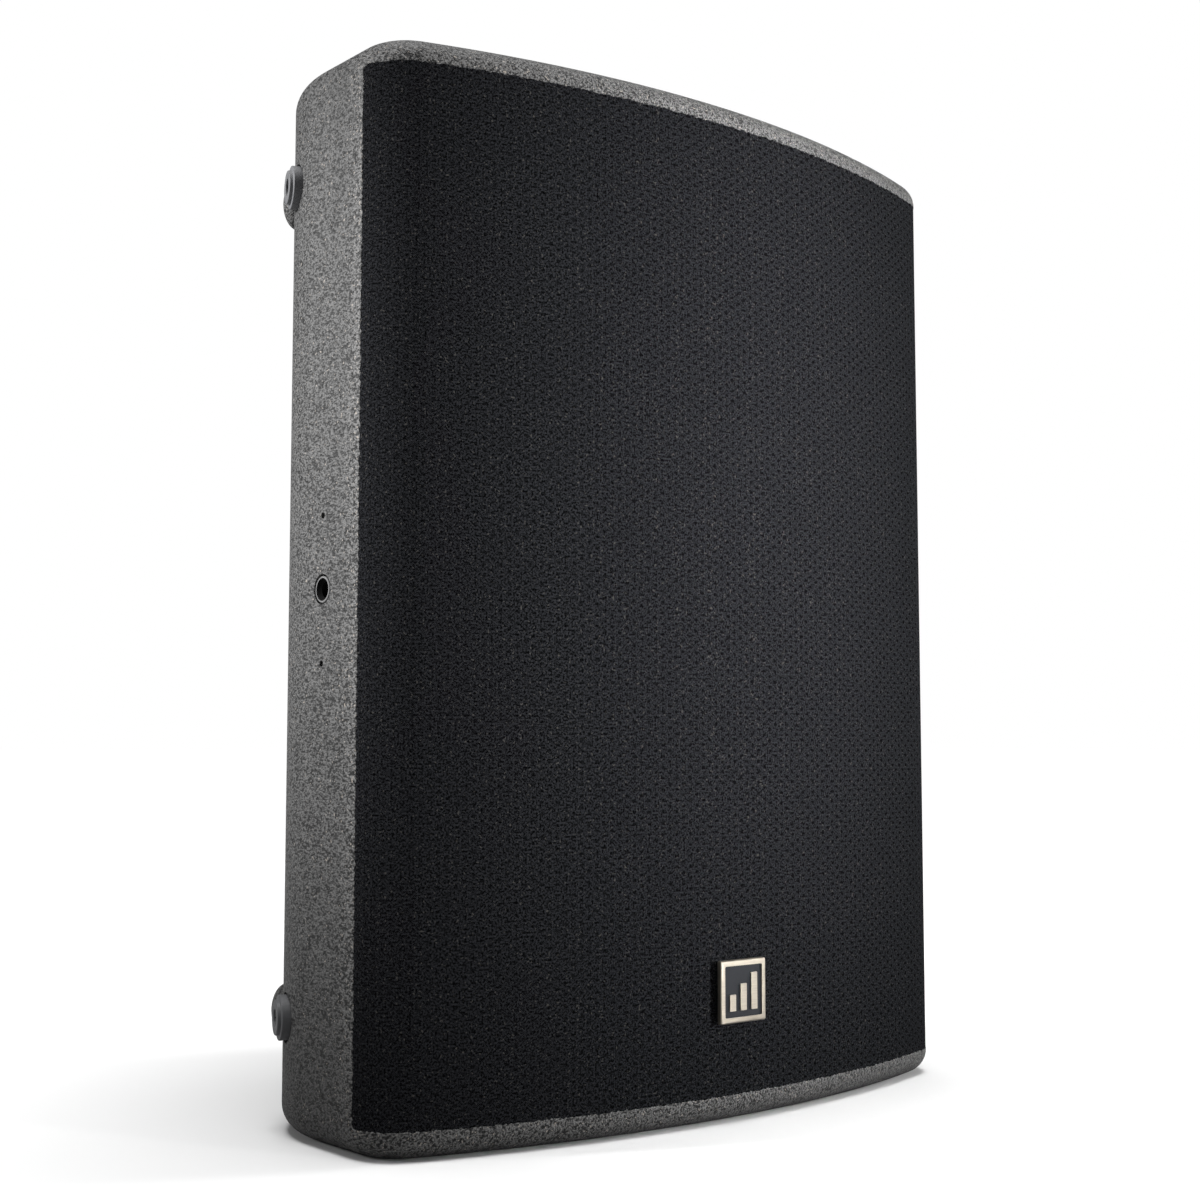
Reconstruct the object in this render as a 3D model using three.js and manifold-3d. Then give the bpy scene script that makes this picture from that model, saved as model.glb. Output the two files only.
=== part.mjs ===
// A two-way stage monitor loudspeaker with a bowed cloth-covered grille, standing on one end.
// Millimetres, +Z up, front towards -Y, mirror plane X = 0, origin under the middle of the box.

import * as THREE from "three";
import { mergeVertices } from "three/addons/utils/BufferGeometryUtils.js";
import Module from "manifold-3d";

const wasm = await Module();
wasm.setup();

// ---------------------------------------------------------------- driving dimensions

const DEG = Math.PI / 180;
const GAP = 0.3; // clearance between neighbouring pieces

const HEIGHT = 590;
const PANEL = 15; // plywood, and the radius of the round-over at both ends
const HALF_WIDTH = 217.8;
const BOW_RISE = 38.4; // how far the grille's middle stands ahead of its corners
const FRONT_CORNER_RADIUS = 33;
const SIDE_FLAT = 44; // flat stretch of the side between its two rounded edges
const REAR_ROUND_RADIUS = 83;
const WEDGE_ANGLE = 40 * DEG; // how far the rear faces turn away from the sides
const BACK_Y = 268; // back face, behind the line through the front corners
const BACK_CORNER_RADIUS = 40;
const GRILLE_EDGE_ANGLE = 6.5 * DEG; // the side panel covers this much of the front corner

const CLOTH = 1.5;
const GRILLE_STEEL = 1.5;
const BAFFLE_Y = 30;
const BAFFLE = 18;
const MID = HEIGHT / 2;

const FOOT_FROM_END = 63;
const FOOT_POCKET_RADIUS = 13.5;
const FOOT_POCKET_DEPTH = 2.6;
const FOOT_BASE_RADIUS = 12.3;
const FOOT_STEP_RISE = 3.8; // shoulder above the rounding it stands on
const FOOT_TIP_RADIUS = 9.5;
const FOOT_RECESS_RADIUS = 4.7; // screw hole in the tip
const FOOT_RECESS_DEPTH = 2;
const SIDE_FOOT_RISE = 5.8; // tip above the rounding it stands on
const BACK_FOOT_RISE = 6.3;
const SIDE_FOOT_ANGLE = WEDGE_ANGLE / 2; // halfway between the side and the rear face
const BACK_FOOT_ANGLE = (90 * DEG + WEDGE_ANGLE) / 2;

const SKID_RADIUS = 14.3; // domed glide on the rear face
const SKID_HEIGHT = 8.5;
const SKID_STEPS = 6;
const SKID_FROM_ROUND = 5; // centre of the skid beyond the end of the rounding

const INSERT_Y = 54.5; // threaded insert in the side
const INSERT_FLANGE_RADIUS = 7.75;
const INSERT_BARREL_RADIUS = 6.4;
const INSERT_BORE_RADIUS = 4.9;
const PILOT_SPACING = 40;
const PILOT_RADIUS = 1.75;

const BADGE_SIZE = 35;
const BADGE_THICKNESS = 2.8;
const BADGE_BORDER = 3.2; // rim round the sunk field
const BADGE_RECESS = 0.8;
const BADGE_BAR_GAP = 3.6;
const MIDDLE_BAR_RISE = 0.52; // share of the field's height
const BAR_RISE_STEP = 0.2;
const BADGE_STANDOFF = 3;
const BADGE_Z = 73.6;
const STUD_RADIUS = 3;

const DRIVER_HOLE_RADIUS = 176;
const FRAME_SIDES = 30; // flats round the driver's frame and the hole it sits in
const PORT_X = 130;
const PORT_FROM_END = 62;
const PORT_HOLE_RADIUS = 36;
const BRACE_FROM_MID = 188; // clear of the driver's frame and of the ports

const HANDLE_WIDTH = 74; // inside of the cup
const HANDLE_LENGTH = 138;
const HANDLE_DEPTH = 45;
const HANDLE_WALL = 3;
const GRIP_RADIUS = 12;
const PLATE = 2.5; // handle rim and connector plate
const CONNECTOR_Z = 160;
const SOCKET_X = 21;

// ---------------------------------------------------------------- solids

function closed(geometry) {
  geometry.deleteAttribute("normal");
  geometry.deleteAttribute("uv");
  return mergeVertices(geometry, 1e-4);
}

function solidOf(geometry) {
  const merged = closed(geometry.clone());
  return new wasm.Manifold(new wasm.Mesh({
    numProp: 3,
    vertProperties: new Float32Array(merged.getAttribute("position").array),
    triVerts: new Uint32Array(merged.getIndex().array),
  }));
}

// Corners go to the nearest micrometre, so that a face stays flat where its edges are cut.
function geometryOf(solid) {
  const mesh = solid.getMesh();
  const geometry = new THREE.BufferGeometry();
  const corners = mesh.vertProperties.map((value) => Math.round(value * 1000) / 1000);
  geometry.setAttribute("position", new THREE.BufferAttribute(corners, 3));
  geometry.setIndex(new THREE.BufferAttribute(mesh.triVerts, 1));
  return geometry;
}

function cut(geometry, cutters) {
  let solid = solidOf(geometry);
  for (const cutter of cutters) solid = solid.subtract(solidOf(cutter));
  return geometryOf(solid);
}

function join(geometries) {
  let solid = solidOf(geometries[0]);
  for (const geometry of geometries.slice(1)) solid = solid.add(solidOf(geometry));
  return geometryOf(solid);
}

// A solid of revolution about Y from a closed loop of [radius, y], listed either way round.
function ring(loop, segments = 16) {
  const points = loop.map(([radius, y]) => new THREE.Vector2(radius, y));
  if (THREE.ShapeUtils.isClockWise(points)) points.reverse();
  return closed(new THREE.LatheGeometry([...points, points[0]], segments));
}

// A solid of revolution about Y whose profile starts and ends on the axis, from low to high y.
function turned(profile, segments = 16) {
  const points = profile.map(([radius, y]) => new THREE.Vector2(radius, y));
  return closed(new THREE.LatheGeometry(points, segments));
}

function box(x0, x1, y0, y1, z0, z1) {
  const geometry = new THREE.BoxGeometry(x1 - x0, y1 - y0, z1 - z0);
  return geometry.translate((x0 + x1) / 2, (y0 + y1) / 2, (z0 + z1) / 2);
}

// A plan outline raised from z0 to z1.
function prism(points, z0, z1) {
  const shape = new THREE.Shape(points.map(([x, y]) => new THREE.Vector2(x, y)));
  const geometry = new THREE.ExtrudeGeometry(shape, { depth: z1 - z0, bevelEnabled: false });
  return closed(geometry.translate(0, 0, z0));
}

function roundedRectangle(width, height, radius) {
  const w = width / 2;
  const h = height / 2;
  const shape = new THREE.Shape();
  shape.moveTo(w, radius - h);
  shape.absarc(w - radius, h - radius, radius, 0, 90 * DEG);
  shape.absarc(radius - w, h - radius, radius, 90 * DEG, 180 * DEG);
  shape.absarc(radius - w, radius - h, radius, 180 * DEG, 270 * DEG);
  shape.absarc(w - radius, radius - h, radius, 270 * DEG, 360 * DEG);
  return shape;
}

// A rounded rectangle in X and Z, from y0 to y1, centred on x and z.
function slab(width, height, radius, y0, y1, x, z) {
  const options = { depth: y1 - y0, bevelEnabled: false, curveSegments: 3 };
  const geometry = new THREE.ExtrudeGeometry(roundedRectangle(width, height, radius), options);
  return closed(geometry.rotateX(90 * DEG).translate(x, y1, z));
}

function cylinderAlongY(radius, y0, y1, x, z, segments = 16) {
  return turned([[0, y0], [radius, y0], [radius, y1], [0, y1]], segments).translate(x, 0, z);
}

function mirrored(geometry) {
  const copy = geometry.clone().scale(-1, 1, 1);
  const index = copy.getIndex();
  for (let i = 0; i < index.count; i += 3) {
    const first = index.getX(i);
    index.setX(i, index.getX(i + 1));
    index.setX(i + 1, first);
  }
  return copy;
}

// ---------------------------------------------------------------- plan outline, right half

const BOW_RADIUS = (HALF_WIDTH ** 2 + BOW_RISE ** 2) / (2 * BOW_RISE);
const bowCentreY = BOW_RADIUS - BOW_RISE;
const cornerX = HALF_WIDTH - FRONT_CORNER_RADIUS;
const cornerY = bowCentreY - Math.sqrt((BOW_RADIUS - FRONT_CORNER_RADIUS) ** 2 - cornerX ** 2);
const bowEnd = Math.atan2(cornerY - bowCentreY, cornerX);
const roundX = HALF_WIDTH - REAR_ROUND_RADIUS;
const roundY = cornerY + SIDE_FLAT;
const backCornerY = BACK_Y - BACK_CORNER_RADIUS;
const rearReach = roundX * Math.cos(WEDGE_ANGLE) + roundY * Math.sin(WEDGE_ANGLE)
  + REAR_ROUND_RADIUS - BACK_CORNER_RADIUS;
const backCornerX = (rearReach - backCornerY * Math.sin(WEDGE_ANGLE)) / Math.cos(WEDGE_ANGLE);

const BOW = { x: 0, y: bowCentreY, radius: BOW_RADIUS, from: -90 * DEG, to: bowEnd, steps: 8 };
const CORNER = { x: cornerX, y: cornerY, radius: FRONT_CORNER_RADIUS };
const FRONT_CORNER = { ...CORNER, from: bowEnd, to: -GRILLE_EDGE_ANGLE, steps: 6 };
const SIDE_EDGE = { ...CORNER, from: -GRILLE_EDGE_ANGLE, to: 0, steps: 1 };
const REAR_ROUND = {
  x: roundX, y: roundY, radius: REAR_ROUND_RADIUS, from: 0, to: WEDGE_ANGLE, steps: 5,
};
const BACK_CORNER = {
  x: backCornerX, y: backCornerY, radius: BACK_CORNER_RADIUS,
  from: WEDGE_ANGLE, to: 90 * DEG, steps: 4,
};

function onArc(arc, angle, inset = 0) {
  const radius = arc.radius - inset;
  return [arc.x + radius * Math.cos(angle), arc.y + radius * Math.sin(angle)];
}

function arcPoints(arc, inset = 0) {
  const points = [];
  for (let i = 0; i <= arc.steps; i += 1) {
    points.push(onArc(arc, arc.from + ((arc.to - arc.from) * i) / arc.steps, inset));
  }
  return points;
}

function withoutRepeats(points) {
  return points.filter(([x, y], i) => {
    const [lastX, lastY] = points[(i + points.length - 1) % points.length];
    return Math.hypot(x - lastX, y - lastY) > 1e-3;
  });
}

// Right-half arcs followed by their mirror images, all the way across or all the way round.
function bothHalves(arcs, inset) {
  const right = arcs.flatMap((arc) => arcPoints(arc, inset));
  const left = right.map(([x, y]) => [-x, y]).reverse();
  return { right, left };
}

function wholeOutline(inset) {
  const arcs = [BOW, FRONT_CORNER, SIDE_EDGE, REAR_ROUND, BACK_CORNER];
  const { right, left } = bothHalves(arcs, inset);
  return withoutRepeats(right.concat(left));
}

// A skin that follows the outline between two depths below it.
function skin(points, outer, inner, z0, z1) {
  return prism(withoutRepeats(points(outer).concat(points(inner).reverse())), z0, z1);
}

// ---------------------------------------------------------------- scene helpers

const frontMost = -BOW_RISE - BADGE_STANDOFF - BADGE_THICKNESS;
const backMost = backCornerY + (BACK_CORNER_RADIUS + BACK_FOOT_RISE) * Math.sin(BACK_FOOT_ANGLE)
  + FOOT_TIP_RADIUS * Math.cos(BACK_FOOT_ANGLE);

const monitor = new THREE.Group();
monitor.position.y = -(frontMost + backMost) / 2;

const FINISHES = {
  paint: [0x6a6a6b, 0.75, 0.1],
  plywood: [0xb98f5f, 0.8, 0],
  blackWood: [0x222222, 0.85, 0],
  cloth: [0x24262b, 0.95, 0],
  blackSteel: [0x1c1c1e, 0.6, 0.7],
  nickel: [0xc8bea8, 0.35, 0.9],
  zinc: [0x9a9a98, 0.45, 0.9],
  rubber: [0x2c2c2e, 0.8, 0],
  plastic: [0x1d1d1f, 0.6, 0],
  paper: [0x202022, 0.9, 0],
  castAluminium: [0x8f9193, 0.55, 0.8],
  ferrite: [0x3a3a3c, 0.7, 0.2],
  copper: [0xb06a35, 0.4, 0.9],
  board: [0x1f5a37, 0.6, 0],
  film: [0xc9a227, 0.45, 0],
};

function add(name, geometry, finish) {
  const [color, roughness, metalness] = FINISHES[finish];
  const material = new THREE.MeshStandardMaterial({ color, roughness, metalness });
  const mesh = new THREE.Mesh(geometry, material);
  mesh.name = name;
  monitor.add(mesh);
  return mesh;
}

const SIDES = [["left", -1], ["right", 1]];
const ENDS = [["lower", 0], ["upper", 1]];

const wallBottom = PANEL + GAP;
const wallTop = HEIGHT - PANEL - GAP;

function fromEnd(distance, end) {
  return end ? HEIGHT - distance : distance;
}

// Places a piece turned about Y so that its axis leaves an arc of the outline at an angle.
function standOnArc(geometry, arc, angle, height, z) {
  const [x, y] = onArc(arc, angle, -height);
  return geometry.clone().rotateZ(angle - 90 * DEG).translate(x, y, z);
}

// ---------------------------------------------------------------- cabinet

function addEndPanels() {
  const points = wholeOutline(0).map(([x, y]) => new THREE.Vector2(x, y));
  const whole = new THREE.ExtrudeGeometry(new THREE.Shape(points), {
    depth: 1,
    bevelEnabled: true,
    bevelThickness: PANEL,
    bevelSize: PANEL,
    bevelOffset: -PANEL,
    bevelSegments: 4,
  });
  const half = cut(whole, [box(-HEIGHT, HEIGHT, -HEIGHT, HEIGHT, 0, 2 * PANEL)]);
  add("end_panel_lower", half.clone().translate(0, 0, PANEL), "paint");
  add("end_panel_upper", half.clone().rotateY(180 * DEG).translate(0, 0, HEIGHT - PANEL), "paint");
}

function addSidePanels() {
  const arcs = [SIDE_EDGE, REAR_ROUND];
  const points = (inset) => arcs.flatMap((arc) => arcPoints(arc, inset));
  const wall = skin(points, 0, PANEL, wallBottom, wallTop);
  const along = (radius, depth, z) => turned(
    [[0, -depth], [radius, -depth], [radius, 1], [0, 1]],
  ).rotateZ(-90 * DEG).translate(HALF_WIDTH, INSERT_Y, z);
  const cutters = [
    along(INSERT_BARREL_RADIUS + GAP, PANEL + 1, MID),
    along(INSERT_FLANGE_RADIUS + GAP, 1.8, MID),
    along(PILOT_RADIUS, PANEL + 1, MID - PILOT_SPACING),
    along(PILOT_RADIUS, PANEL + 1, MID + PILOT_SPACING),
  ];
  const pocket = turned(
    [[0, 0], [FOOT_POCKET_RADIUS, 0], [FOOT_POCKET_RADIUS, 9], [0, 9]],
    24,
  );
  for (const [, end] of ENDS) {
    const z = fromEnd(FOOT_FROM_END, end);
    cutters.push(standOnArc(pocket, REAR_ROUND, SIDE_FOOT_ANGLE, -FOOT_POCKET_DEPTH, z));
  }
  const right = cut(wall, cutters);
  add("side_panel_right", right, "paint");
  add("side_panel_left", mirrored(right), "paint");
}

function addRearPanels() {
  const end = onArc(REAR_ROUND, WEDGE_ANGLE);
  const start = onArc(BACK_CORNER, WEDGE_ANGLE);
  const length = Math.hypot(start[0] - end[0], start[1] - end[1]);
  const board = box(-PANEL, 0, GAP, length - GAP, wallBottom, wallTop);
  const right = closed(board.rotateZ(WEDGE_ANGLE).translate(end[0], end[1], 0));
  add("rear_panel_right", right, "paint");
  add("rear_panel_left", mirrored(right), "paint");
}

function addBackPanel() {
  const points = (inset) => {
    const { right, left } = bothHalves([BACK_CORNER], inset);
    return right.concat(left);
  };
  const wall = skin(points, 0, PANEL, wallBottom, wallTop);
  const cupWidth = HANDLE_WIDTH + 2 * HANDLE_WALL + 2;
  const cupLength = HANDLE_LENGTH + 2 * HANDLE_WALL + 2;
  const cutters = [
    slab(cupWidth, cupLength, 12, BACK_Y - PANEL - 5, BACK_Y + 5, 0, MID),
    slab(76, 40, 4, BACK_Y - PANEL - 5, BACK_Y + 5, 0, CONNECTOR_Z),
  ];
  const pocket = turned(
    [[0, 0], [FOOT_POCKET_RADIUS, 0], [FOOT_POCKET_RADIUS, 12], [0, 12]],
    24,
  );
  for (const [, end] of ENDS) {
    const z = fromEnd(FOOT_FROM_END, end);
    const right = standOnArc(pocket, BACK_CORNER, BACK_FOOT_ANGLE, -FOOT_POCKET_DEPTH, z);
    cutters.push(right, mirrored(right));
  }
  add("back_panel", cut(wall, cutters), "paint");
}

function addBaffle() {
  const half = HALF_WIDTH - PANEL - GAP;
  const y1 = BAFFLE_Y + BAFFLE;
  const cutters = [cylinderAlongY(DRIVER_HOLE_RADIUS, 0, 90, 0, MID, FRAME_SIDES)];
  for (const [, side] of SIDES) {
    for (const [, end] of ENDS) {
      const z = fromEnd(PORT_FROM_END, end);
      cutters.push(cylinderAlongY(PORT_HOLE_RADIUS, 0, 90, side * PORT_X, z));
    }
  }
  const board = box(-half, half, BAFFLE_Y, y1, wallBottom, wallTop);
  add("front_baffle", cut(board, cutters), "blackWood");
}

function addBraces() {
  const { right, left } = bothHalves([{ ...REAR_ROUND, steps: 4 }, { ...BACK_CORNER, steps: 3 }],
    PANEL + GAP);
  const front = BAFFLE_Y + BAFFLE + GAP;
  const rim = right[0][0];
  const outline = [[-rim, front], [rim, front], ...right, ...left];
  const window = slab(150, 60, 25, -60, 60, 0, 0).rotateX(90 * DEG).translate(0, 120, 0);
  const back = slab(90, 30, 10, -60, 60, 0, 0).rotateX(90 * DEG).translate(0, 200, 0);
  const plate = cut(prism(withoutRepeats(outline), -PANEL / 2, PANEL / 2), [window, back]);
  add("brace_upper", plate.clone().translate(0, 0, MID + BRACE_FROM_MID), "plywood");
  add("brace_lower", plate.clone().translate(0, 0, MID - BRACE_FROM_MID), "plywood");
}

// ---------------------------------------------------------------- grille and badge

function addGrille() {
  const margin = GAP / FRONT_CORNER_RADIUS;
  const corner = { ...FRONT_CORNER, to: FRONT_CORNER.to - margin };
  const points = (inset) => {
    const { right, left } = bothHalves([BOW, corner], inset);
    return left.concat(right);
  };
  const studHole = cylinderAlongY(STUD_RADIUS + GAP, -60, 0, 0, BADGE_Z);
  const sheetDepth = CLOTH + GAP;
  const cloth = skin(points, 0, CLOTH, wallBottom, wallTop);
  const sheet = skin(points, sheetDepth, sheetDepth + GRILLE_STEEL, wallBottom, wallTop);
  add("grille_cloth", cut(cloth, [studHole]), "cloth");
  add("grille_sheet", cut(sheet, [studHole]), "blackSteel");
  for (const [name, side] of SIDES) {
    const x = side * (HALF_WIDTH - PANEL - 4);
    const batten = box(x - 3.2, x + 3.2, 12, BAFFLE_Y - GAP, wallBottom, wallTop);
    add(`grille_batten_${name}`, batten, "blackWood");
  }
}

function addBadge() {
  const bevel = 0.7;
  const plate = new THREE.ExtrudeGeometry(roundedRectangle(BADGE_SIZE, BADGE_SIZE, 1.2), {
    depth: BADGE_THICKNESS - bevel,
    bevelEnabled: true,
    bevelThickness: bevel,
    bevelSize: bevel,
    bevelOffset: -bevel,
    bevelSegments: 2,
    curveSegments: 3,
  });
  const flatBack = cut(plate, [box(-30, 30, -30, 30, -5, 0)]);
  const back = -BOW_RISE - BADGE_STANDOFF;
  flatBack.rotateX(90 * DEG).translate(0, back, BADGE_Z);
  // a sunk field with three bars of rising height left standing in it
  const face = back - BADGE_THICKNESS;
  const half = BADGE_SIZE / 2 - BADGE_BORDER;
  const barWidth = (2 * half - 4 * BADGE_BAR_GAP) / 3;
  const low = BADGE_Z - half + BADGE_BAR_GAP;
  const bars = [-1, 0, 1].map((step) => {
    const x = step * (barWidth + BADGE_BAR_GAP);
    const high = low + 2 * half * (MIDDLE_BAR_RISE + BAR_RISE_STEP * step);
    return box(x - barWidth / 2, x + barWidth / 2, face - 6, face + 2, low, high);
  });
  const field = box(-half, half, face - 5, face + BADGE_RECESS, BADGE_Z - half, BADGE_Z + half);
  add("badge_plate", cut(flatBack, [cut(field, bars)]), "nickel");
  const stud = turned([
    [0, back + GAP], [5, back + GAP], [5, back + 1.3], [STUD_RADIUS, back + 1.3],
    [STUD_RADIUS, -BOW_RISE + 12], [0, -BOW_RISE + 12],
  ]);
  add("badge_stud", stud.translate(0, 0, BADGE_Z), "zinc");
}

// ---------------------------------------------------------------- drive unit, on the axis x = 0, z = MID

const COIL_RADIUS = 38.5;
const FRAME_BACK = 135;
const TOP_PLATE_Y = FRAME_BACK + GAP;
const MAGNET_Y = TOP_PLATE_Y + 8 + GAP;
const BACK_PLATE_Y = MAGNET_Y + 22 + GAP;
const HORN_BACK = BACK_PLATE_Y + 10;
const BIG = 20; // segments round the large rings

function addOnAxis(name, geometry, finish) {
  add(name, geometry.translate(0, 0, MID), finish);
}

function addDriveUnit() {
  const flange = BAFFLE_Y - GAP;
  const shell = ring([
    [42, FRAME_BACK], [42, 127], [93, 127], [171, 31], [179, 28.8], [179, 22], [194, 22],
    [194, flange], [175, flange], [175, 34], [98, 130], [98, FRAME_BACK],
  ].reverse(), 48);
  const windows = [];
  for (let i = 0; i < 6; i += 1) {
    const window = new THREE.BoxGeometry(75, 62, 46).translate(146, 84, 0);
    windows.push(window.rotateY(i * 60 * DEG));
  }
  addOnAxis("driver_frame", cut(shell, windows), "castAluminium");
  addOnAxis("driver_gasket", ring([[180, 18.7], [193, 18.7], [193, 21.7], [180, 21.7]], BIG), "rubber");
  addOnAxis("driver_cone", coneGeometry(), "paper");
  addOnAxis("driver_surround", surroundGeometry(), "rubber");
  addOnAxis("driver_spider", spiderGeometry(), "cloth");
  const coil = [
    [COIL_RADIUS - 1, 96], [COIL_RADIUS, 96], [COIL_RADIUS, 141], [COIL_RADIUS - 1, 141],
  ];
  addOnAxis("voice_coil", ring(coil, BIG), "copper");
  const topPlate = [
    [COIL_RADIUS + 1.2, TOP_PLATE_Y], [95, TOP_PLATE_Y],
    [95, TOP_PLATE_Y + 8], [COIL_RADIUS + 1.2, TOP_PLATE_Y + 8],
  ];
  addOnAxis("magnet_top_plate", ring(topPlate, BIG), "zinc");
  const magnet = [[52, MAGNET_Y], [95, MAGNET_Y], [95, MAGNET_Y + 22], [52, MAGNET_Y + 22]];
  addOnAxis("magnet_ring", ring(magnet, BIG), "ferrite");
  const pole = COIL_RADIUS - 2;
  const backPlate = [
    [19, FRAME_BACK - 1], [pole, FRAME_BACK - 1], [pole, BACK_PLATE_Y], [95, BACK_PLATE_Y],
    [95, HORN_BACK], [19, HORN_BACK],
  ];
  addOnAxis("magnet_back_plate", ring(backPlate, BIG), "zinc");
  addOnAxis("treble_horn", hornGeometry(), "plastic");
  const start = HORN_BACK + GAP;
  const trebleDriver = [
    [0, start], [45, start], [45, start + 6], [55, start + 8], [55, start + 24],
    [50, start + 29], [0, start + 29],
  ];
  addOnAxis("treble_driver", turned(trebleDriver, BIG), "blackSteel");
}

const CONE_RIM = 157.5;
const CONE_FRONT = 27;
const CONE_BACK = 97;

function coneGeometry() {
  const outer = [];
  const inner = [];
  const steps = 4;
  for (let i = 0; i <= steps; i += 1) {
    const t = i / steps;
    const radius = COIL_RADIUS + GAP + (CONE_RIM - COIL_RADIUS - GAP) * t;
    const y = CONE_BACK - (CONE_BACK - CONE_FRONT) * (t - 0.35 * t * (1 - t));
    inner.push([radius, y]);
    outer.push([radius, y + 1.6]);
  }
  return ring(outer.concat(inner.reverse()), BIG);
}

function surroundGeometry() {
  const middle = 168;
  const roll = 9;
  const arc = (radius) => {
    const points = [];
    for (let i = 0; i <= 4; i += 1) {
      const angle = (180 - 45 * i) * DEG;
      points.push([middle + radius * Math.cos(angle), CONE_FRONT - radius * Math.sin(angle)]);
    }
    return points;
  };
  const lip = CONE_FRONT + 1.2;
  const outside = arc(roll + 0.6);
  const inside = arc(roll - 0.6).reverse();
  return ring([...outside, [middle + roll + 0.6, lip], [middle + roll - 0.6, lip], ...inside,
    [middle - roll + 0.6, lip], [middle - roll - 0.6, lip]], BIG);
}

function spiderGeometry() {
  const front = [];
  const back = [];
  const steps = 6;
  for (let i = 0; i <= steps; i += 1) {
    const radius = COIL_RADIUS + GAP + (96 - COIL_RADIUS - GAP) * (i / steps);
    const y = 114 + (i % 2 ? 1.6 : -1.6);
    front.push([radius, y]);
    back.push([radius, y + 0.8]);
  }
  return ring(front.concat(back.reverse()), BIG);
}

function hornGeometry() {
  const inside = [];
  const outside = [];
  const steps = 4;
  for (let i = 0; i <= steps; i += 1) {
    const t = i / steps;
    const y = 122 - 70 * t;
    const radius = 15 + 62 * t ** 1.8;
    inside.push([radius, y]);
    outside.push([radius + 2.5, y + 1.2 * t]);
  }
  const loop = [[12.7, HORN_BACK], ...inside, ...outside.reverse(), [18, 126], [18, HORN_BACK]];
  return ring(loop, BIG);
}

// ---------------------------------------------------------------- ports and crossover

function addPorts() {
  const front = BAFFLE_Y - GAP;
  const loop = [
    [31.5, front - 3], [42, front - 3], [42, front], [35.5, front], [35.5, 130], [31.5, 130],
  ];
  for (const [endName, end] of ENDS) {
    for (const [sideName, side] of SIDES) {
      const tube = ring(loop).translate(side * PORT_X, 0, fromEnd(PORT_FROM_END, end));
      add(`port_tube_${endName}_${sideName}`, tube, "plastic");
    }
  }
}

function addCrossover() {
  const floor = wallBottom + 1.5;
  const top = floor + 1.6 + GAP;
  add("crossover_board", box(-60, 60, 140, 230, floor, floor + 1.6), "board");
  const upright = (loop, x, y) => ring(loop).rotateX(90 * DEG).translate(x, y, top);
  add("bass_inductor", upright([[11, 0], [27, 0], [27, 28], [11, 28]], -30, 180), "copper");
  add("treble_inductor", upright([[6, 0], [14, 0], [14, 16], [6, 16]], 44, 212), "copper");
  for (const [index, x] of [[1, 12], [2, 40]]) {
    const can = turned([[0, -20], [12, -20], [12, 20], [0, 20]]);
    add(`crossover_capacitor_${index}`, can.translate(x, 168, top + 12), "film");
  }
}

// ---------------------------------------------------------------- handle and connectors

function addHandle() {
  const width = HANDLE_WIDTH;
  const length = HANDLE_LENGTH;
  const rimY = BACK_Y + GAP;
  const floorY = BACK_Y - HANDLE_DEPTH;
  const outerWidth = width + 2 * HANDLE_WALL;
  const outerLength = length + 2 * HANDLE_WALL;
  const body = join([
    slab(outerWidth, outerLength, 11, floorY - HANDLE_WALL, rimY + 1, 0, MID),
    slab(outerWidth + 16, outerLength + 16, 14, rimY, rimY + PLATE, 0, MID),
  ]);
  const hollow = slab(width, length, 8, floorY, rimY + 9, 0, MID);
  add("handle_cup", cut(body, [hollow]), "plastic");
  const reach = length / 2 - GAP;
  const grip = turned([
    [0, -reach], [GRIP_RADIUS, -reach], [GRIP_RADIUS, reach], [0, reach],
  ]).rotateX(90 * DEG);
  add("handle_grip", grip.translate(0, BACK_Y - 10, MID), "rubber");
}

const SOCKET_BORE = 10.6;
const SOCKET_CORE = 3.8;
const SOCKET_DEPTH = 20;

function addConnectors() {
  const rimY = BACK_Y + GAP;
  const plate = slab(92, 84, 5, rimY, rimY + PLATE, 0, CONNECTOR_Z);
  const holes = SIDES.map(([, side]) => cylinderAlongY(12.4, 200, 300, side * SOCKET_X, CONNECTOR_Z));
  add("connector_plate", cut(plate, holes), "blackSteel");
  const face = rimY + PLATE + GAP;
  const floor = face - SOCKET_DEPTH;
  for (const [name, side] of [["input", -1], ["link", 1]]) {
    const x = side * SOCKET_X;
    const shell = join([
      slab(26, 31, 3, face, face + 2, x, CONNECTOR_Z),
      cylinderAlongY(12, floor - 6, face + 1, x, CONNECTOR_Z),
    ]);
    const hollow = cut(shell, [cylinderAlongY(SOCKET_BORE, floor, face + 9, x, CONNECTOR_Z)]);
    const core = cylinderAlongY(SOCKET_CORE, floor - 1, face - 3, x, CONNECTOR_Z);
    add(`${name}_socket`, join([hollow, core]), "plastic");
  }
}

// ---------------------------------------------------------------- inserts, feet and skids

function addInserts() {
  const loop = [
    [INSERT_BORE_RADIUS, -PANEL], [INSERT_BARREL_RADIUS, -PANEL], [INSERT_BARREL_RADIUS, -1.5],
    [INSERT_FLANGE_RADIUS, -1.5], [INSERT_FLANGE_RADIUS, -0.2], [INSERT_BORE_RADIUS, -0.2],
  ];
  const right = ring(loop).rotateZ(-90 * DEG).translate(HALF_WIDTH, INSERT_Y, MID);
  add("side_insert_right", right, "zinc");
  add("side_insert_left", mirrored(right), "zinc");
}

// A stepped rubber foot whose tip stands a given height above the rounding.
function footGeometry(rise) {
  const base = GAP - FOOT_POCKET_DEPTH;
  const recess = rise - FOOT_RECESS_DEPTH;
  return turned([
    [0, base], [FOOT_BASE_RADIUS, base], [FOOT_BASE_RADIUS, FOOT_STEP_RISE],
    [FOOT_TIP_RADIUS, FOOT_STEP_RISE], [FOOT_TIP_RADIUS, rise],
    [FOOT_RECESS_RADIUS, rise], [FOOT_RECESS_RADIUS, recess], [0, recess],
  ]);
}

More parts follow.
